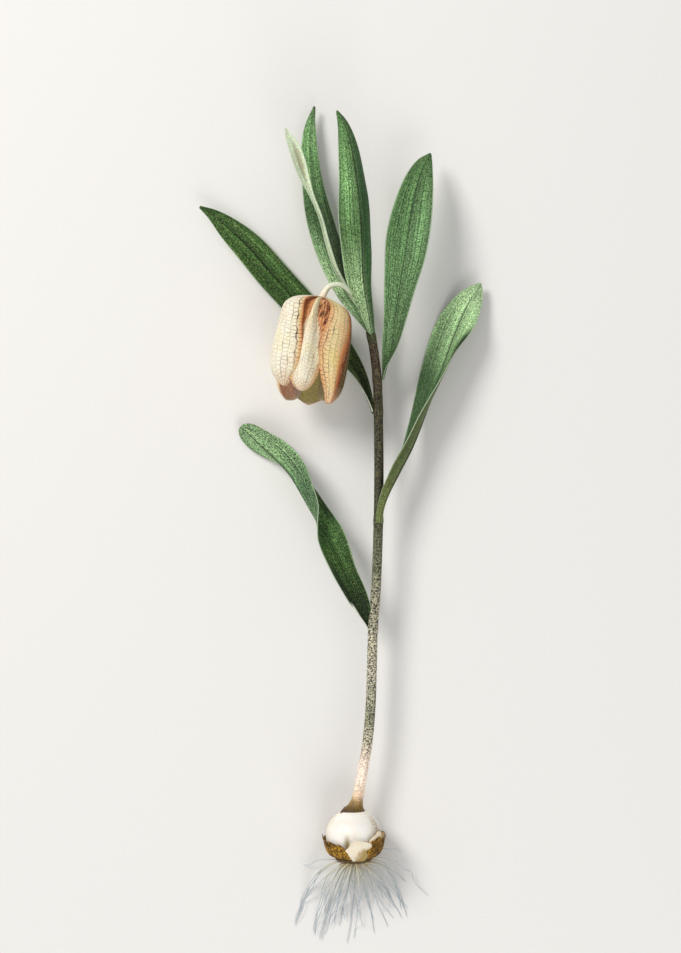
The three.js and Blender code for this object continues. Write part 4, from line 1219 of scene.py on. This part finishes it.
def stamens(filament_finish, anther_finish):
    """Six filaments with long two-lobed anthers."""
    filaments, anthers = [], []
    for index in range(STAMEN_COUNT):
        azimuth = 360 / STAMEN_COUNT * index + STAMEN_TURN
        filaments.append(straight((2.5, azimuth, 0.8), (17, azimuth, 4.6), 0.45, 0.33))
        for side in (-4.5, 4.5):
            anthers.append(straight((16, azimuth + side, 4.4), (23.5, azimuth + side, 4.9), 0.52, 0.4))
    ring = ring_piece(
        "stamen_ring", np.array([flower_point(d, np.linspace(0, 330, 12), 1.2) for d in (2.1, 2.9)]),
        flower_point(2.1, 0, 0.0), flower_point(2.9, 0, 0.0), {}, filament_finish,
    )
    return (
        rods("filaments", filaments, filament_finish, sides=12, relief=0.03, seed=11.0),
        rods("anthers", anthers, anther_finish, sides=12, relief=0.12, relief_size=0.6, seed=12.0),
        ring,
    )


def pistil(finish):
    """Ovary, style and three spreading stigma arms."""
    profile = [(5.2, 0.4), (5.8, 0.7), (6.6, 0.88), (9, 0.95), (12, 0.95), (13, 0.75), (14, 0.6), (21, 0.6)]
    distances = np.linspace(profile[0][0], profile[-1][0], 40)
    radii = np.interp(distances, *zip(*profile))
    lines = [(flower_point(distances, 0, 0.0), tapered(radii, both_ends=True))]
    for azimuth in (0, 120, 240):
        lines.append(straight((20.2, azimuth, 0.1), (27, azimuth, 2.6), 0.5, 0.38))
    return rods("pistil_rod", lines, finish, sides=16, relief=0.05, relief_size=0.8, seed=14.0)


def keep(piece, slot, *nodes):
    """Puts a piece on the plant's one body and hides the nodes that it stands for. The slot is not used."""
    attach(piece, "root")
    if nodes:
        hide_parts(*nodes)


# Leaf colours: stops along the blade for its upper and lower face, the painted shade of its two halves, and
# spots, most of them painted shade
GREEN_BLACK = (0.014, 0.03, 0.01)
GREEN_DARK = (0.036, 0.085, 0.026)
GREEN_MID = (0.09, 0.18, 0.075)
GREEN_LIGHT = (0.175, 0.295, 0.145)
GREEN_PALE = (0.3, 0.43, 0.24)
GREEN_WHITE = (0.62, 0.7, 0.53)
OLIVE_GREEN = (0.16, 0.2, 0.06)
PLAIN_BACK = [(0, GREEN_LIGHT), (1, GREEN_LIGHT)]
LEAF_LOOKS = {
    "leaf_top_front": {
        "upper": [(0, GREEN_MID), (1, GREEN_DARK)],
        "lower": [(0, GREEN_PALE), (0.22, (0.26, 0.42, 0.2)), (0.45, (0.07, 0.165, 0.05)),
                  (0.65, (0.125, 0.27, 0.095)), (1, (0.1, 0.23, 0.075))],
        "left_shade": 0.62, "right_shade": 1.0, "rib": 0.35,
        # The dark band down one half of this blade is painted shade.
        "spots_light_and_shade": [(-0.6, 0.7, 0.45, 0.7, (0.03, 0.16, 0.03), 0.9)],
    },
    "leaf_low_left": {
        "upper": [(0, GREEN_BLACK), (0.14, (0.016, 0.045, 0.008)), (0.3, (0.033, 0.09, 0.017)),
                  (0.5, (0.05, 0.15, 0.032)), (1, GREEN_MID)],
        "lower": [(0.4, GREEN_MID), (0.6, (0.1, 0.22, 0.1)), (0.8, (0.19, 0.35, 0.155)), (1, GREEN_LIGHT)],
        "left_shade": 0.9, "right_shade": 1.05, "flecks": 0.6, "contrast": 1.2,
        "spots_light_and_shade": [
            (-0.9, 0.8, 0.12, 0.26, GREEN_BLACK, 1.0), (0.3, 0.5, 0.06, 0.12, GREEN_BLACK, 0.9),
            (0.9, 0.6, 0.5, 0.08, GREEN_BLACK, 0.6),
        ],
        "hem": 0.13,
    },
    "leaf_mid_right": {
        "upper": [(0, GREEN_DARK), (0.35, (0.035, 0.1, 0.028)), (0.58, (0.08, 0.18, 0.068)),
                  (0.76, (0.3, 0.5, 0.24)), (0.9, (0.4, 0.62, 0.32)), (1, GREEN_PALE)],
        "lower": [(0, OLIVE_GREEN), (0.5, OLIVE_GREEN), (1, GREEN_MID)],
        "left_shade": 1.1, "right_shade": 0.9, "flecks": 0.35, "contrast": 0.8,
        "spots_light_and_shade": [
            # Painted shade: the olive strip, the dark crescent where the right margin folds under, and the
            # darker lower blade.
            (0.62, 0.55, 0.42, 0.38, (0.1, 0.14, 0.042), 0.95), (0.95, 0.75, 0.73, 0.11, GREEN_BLACK, 1.0),
            (0.1, 0.13, 0.3, 0.3, GREEN_BLACK, 0.8), (-0.4, 1.0, 0.42, 0.28, GREEN_DARK, 0.75),
        ],
    },
    "leaf_mid_left": {
        "upper": [(0, (0.09, 0.12, 0.035)), (0.12, (0.08, 0.11, 0.03)), (0.22, (0.045, 0.09, 0.025)),
                  (0.5, (0.036, 0.105, 0.018)), (1, (0.042, 0.105, 0.022))],
        "lower": PLAIN_BACK,
        "left_shade": 1.1, "right_shade": 0.95, "rib": 0.12, "flecks": 0.75, "contrast": 1.2,
        "spots_light_and_shade": [(0.3, 0.6, 0.1, 0.12, GREEN_BLACK, 0.8)], "hem": 0.12,
    },
    "leaf_top_right": {
        "upper": [(0, GREEN_DARK), (0.2, GREEN_MID), (0.6, (0.115, 0.26, 0.095)), (1, (0.08, 0.18, 0.06))],
        "lower": PLAIN_BACK,
        "left_shade": 1.08, "right_shade": 0.85, "rib": 0.42,
    },
    "leaf_top_back": {
        "upper": [(0, GREEN_MID), (0.15, GREEN_MID), (0.3, GREEN_DARK), (0.55, (0.05, 0.12, 0.04)),
                  (0.76, (0.15, 0.33, 0.12)), (0.9, (0.16, 0.34, 0.13)), (1, GREEN_MID)],
        "lower": PLAIN_BACK,
        "left_shade": 1.2, "right_shade": 0.85, "rib": 0.8,
        "spots_light_and_shade": [
            # Painted light in the two pale patches on the left, painted shade in the dark patch on the right.
            (-0.75, 0.85, 0.27, 0.33, (0.2, 0.34, 0.17), 0.9), (-0.75, 0.6, 0.2, 0.2, GREEN_PALE, 0.85),
            (0.6, 0.7, 0.36, 0.3, GREEN_BLACK, 0.6),
        ],
    },
    "leaf_top_slim": {
        "upper": [(0, GREEN_WHITE), (1, GREEN_WHITE)], "lower": [(0, GREEN_WHITE), (1, GREEN_WHITE)],
        "left_shade": 1.15, "right_shade": 1.1, "flecks": 0.1, "contrast": 0.3, "rib": 0.45,
        "spots_light_and_shade": [(0.15, 0.7, 0.84, 0.13, (0.32, 0.3, 0.18), 0.75)],
    },
}
for leaf_name, shape in LEAVES.items():
    look = leaf_finish(leaf_name.replace("_", " ") + " green", **LEAF_LOOKS[leaf_name])
    slot = "leaf_pale" if leaf_name in ("leaf_top_front", "leaf_top_slim") else "leaf_green"
    keep(leaf(leaf_name, shape, look), slot, leaf_name)

# Tepal colours: stops from the left edge to the right one, for the ground and for the net's strength. Over
# the cream ground, the orange and deep red towards the edges and the dark far halves are painted shade, and
# the faint net in the lighter middle stands for painted highlight.
CREAM = (0.92, 0.8, 0.57)
PEACH = (0.84, 0.54, 0.28)
ORANGE = (0.66, 0.28, 0.11)
# Deep red painted shade, at a keel fold and in the recess at a tepal's edge.
DEEP_SHADE_RED = (0.34, 0.075, 0.03)
SHADED_OLIVE = (0.24, 0.14, 0.045)
PALE_CREAM = (1.0, 0.87, 0.67)
ROSE = (1.0, 0.62, 0.5)
LIME = (1.0, 0.98, 0.56)
FAINT, CLEAR, STRONG = (0.45,) * 3, (0.75,) * 3, (1.0,) * 3
PLAIN_GROUND = [(0.0, ORANGE), (0.08, PEACH), (0.25, CREAM), (0.75, CREAM), (0.92, PEACH), (1.0, ORANGE)]
PLAIN_NET = [(0.0, STRONG), (0.2, CLEAR), (0.5, FAINT), (0.8, CLEAR), (1.0, STRONG)]
TEPAL_LOOKS = {
    "tepal_outer_1": {
        # Right of the dark keel line, the olive and dark brown half is painted shade.
        "grounds": [(0.0, ORANGE), (0.1, PEACH), (0.2, (0.9, 0.7, 0.38)), (0.3, (0.93, 0.7, 0.37)),
                    (0.36, PEACH), (0.4, (0.7, 0.27, 0.09)), (0.45, (0.42, 0.12, 0.04)), (0.485, DEEP_SHADE_RED),
                    (0.5, (0.07, 0.012, 0.006)), (0.515, (0.1, 0.024, 0.008)), (0.535, (0.2, 0.085, 0.026)),
                    (0.57, (0.11, 0.066, 0.015)), (0.72, (0.06, 0.042, 0.01)), (0.88, (0.15, 0.115, 0.035)),
                    (1.0, (0.5, 0.24, 0.1))],
        "lines": [(0.0, STRONG), (0.1, STRONG), (0.25, CLEAR), (0.45, STRONG), (0.8, CLEAR), (1.0, STRONG)],
        "inside": ROSE, "slant": 0.18,
    },
    "tepal_outer_2": {"grounds": PLAIN_GROUND, "lines": PLAIN_NET, "inside": LIME},
    "tepal_outer_3": {
        "grounds": [(0.0, ORANGE), (0.1, PEACH), (0.25, CREAM), (0.7, (0.96, 0.87, 0.7)), (0.89, CREAM),
                    (0.945, PEACH), (0.978, ORANGE), (1.0, DEEP_SHADE_RED)],
        "lines": [(0.0, CLEAR), (0.2, FAINT), (0.6, FAINT), (0.78, CLEAR), (0.88, STRONG), (1.0, STRONG)],
        "inside": ROSE,
    },
    "tepal_inner_1": {
        "grounds": [(0.0, ORANGE), (0.08, PEACH), (0.2, CREAM), (0.4, PALE_CREAM), (0.6, PALE_CREAM),
                    (0.8, CREAM), (0.92, PEACH), (1.0, ORANGE)],
        "lines": [(0.0, STRONG), (0.3, CLEAR), (0.5, FAINT), (0.7, CLEAR), (1.0, STRONG)],
        "inside": ROSE, "flank": 0.12,
    },
    "tepal_inner_2": {
        # Its olive and dark brown over most of its width are painted shade.
        "grounds": [(0.0, ORANGE), (0.08, SHADED_OLIVE), (0.4, (0.2, 0.13, 0.045)), (0.6, (0.5, 0.34, 0.14)),
                    (0.8, CREAM), (0.92, PEACH), (1.0, ORANGE)],
        "lines": PLAIN_NET, "inside": LIME,
    },
    "tepal_inner_3": {"grounds": PLAIN_GROUND, "lines": PLAIN_NET, "inside": ROSE},
}
for tepal_name, look in TEPAL_LOOKS.items():
    silk = tepal_finish(tepal_name.replace("_", " ") + " silk", **look)
    keep(tepal(tepal_name, silk), tepal_name[:-2], tepal_name)

keep(stem(stem_finish()), "stem", "stem")
keep(pedicel(stalk_finish()), "stalk", "pedicel")

ivory = scale_finish("bulb scale ivory", (0.93, 0.9, 0.84))
keep(bulb_scale("scale_front", CLEFT_TURN, ivory), "bulb_scale", "bulb_scale_front")
# The rear scale's ivory is darker: painted shade on the half that faces down.
shaded_ivory_rear = scale_finish("rear bulb scale ivory", (0.84, 0.79, 0.68))
keep(bulb_scale("scale_rear", CLEFT_TURN + 180, shaded_ivory_rear), "bulb_scale", "bulb_scale_rear")

brown = tunic_finish("dry tunic brown", (0.29, 0.155, 0.02), (0.04, 0.014, 0.004), (0.86, 0.74, 0.54))
for coat_name in ("tunic_left", "tunic_right", "tunic_back"):
    keep(coat(coat_name, brown), "tunic", coat_name)
keep(coat("bulb_flap", flap_finish()), "torn_flap", "bulb_flap")

keep(basal_plate(plain_finish("basal plate brown", (0.1, 0.06, 0.018), 0.8, 900.0)), "root")
keep(roots(root_finish()), "root", "roots")

filament_green = plain_finish("filament green", (0.66, 0.68, 0.42), 0.5, 1200.0)
anther_yellow = plain_finish("anther yellow", (0.72, 0.56, 0.16), 0.7, 2600.0)
for number, piece in enumerate(stamens(filament_green, anther_yellow)):
    keep(piece, "stamen", *(["stamens"] if number == 0 else []))
keep(pistil(plain_finish("pistil green", (0.5, 0.58, 0.26), 0.45, 1200.0)), "pistil", "pistil")


# Floor, light and camera

def floor():
    """A plain pale surface under the plant."""
    size = 4.0
    mesh = bpy.data.meshes.new("floor")
    corners = [(-size, -size, 0), (size, -size, 0), (size, size, 0), (-size, size, 0)]
    mesh.from_pydata(corners, [], [(0, 1, 2, 3)])
    made = Finish("pale floor", 0.9)
    grain = made.step(made.noise(made.place(), 900.0, 2.0), 0.3, 0.7, 0.985, 1.0)
    mesh.materials.append(made.finish(made.scaled((0.8, 0.79, 0.77), grain)))
    surface = bpy.data.objects.new("floor", mesh)
    bpy.context.scene.collection.objects.link(surface)


def soft_light(name, place, aim, size, power, colour):
    """A round soft lamp that faces a point."""
    lamp = bpy.data.lights.new(name, "AREA")
    lamp.shape = "DISK"
    lamp.size = size
    lamp.energy = power
    lamp.color = colour
    holder = bpy.data.objects.new(name, lamp)
    holder.location = place
    direction = Vector(aim) - Vector(place)
    holder.rotation_euler = direction.to_track_quat("-Z", "Y").to_euler()
    bpy.context.scene.collection.objects.link(holder)


def studio():
    """Soft light from the upper left, a weaker one from the root end, and a pale surround."""
    middle = (0.0, 0.12, 0.01)
    soft_light("key light", (-0.75, 0.85, 1.0), middle, size=0.55, power=13.4, colour=(1.0, 0.98, 0.95))
    soft_light("fill light", (0.3, -0.85, 0.75), middle, size=0.9, power=6.0, colour=(1.0, 0.98, 0.96))
    world = bpy.data.worlds.new("surround")
    world.use_nodes = True
    backdrop = world.node_tree.nodes["Background"]
    backdrop.inputs["Color"].default_value = (0.95, 0.95, 0.95, 1)
    backdrop.inputs["Strength"].default_value = 0.5
    bpy.context.scene.world = world
    bpy.context.scene.view_settings.view_transform = "Standard"


CAMERA_PLACE = (-5.06, 135.56, 1005)
LENS_LENGTH = 100
SENSOR_HEIGHT = 36


def camera():
    """The photo's view: straight down, with the leaf tips up."""
    lens = bpy.data.cameras.new("camera")
    lens.sensor_fit = "VERTICAL"
    lens.sensor_height = SENSOR_HEIGHT
    lens.lens = LENS_LENGTH
    lens.clip_end = 20
    holder = bpy.data.objects.new("camera", lens)
    holder.location = [value * MM for value in CAMERA_PLACE]
    bpy.context.scene.collection.objects.link(holder)
    bpy.context.scene.camera = holder


floor()
studio()
camera()
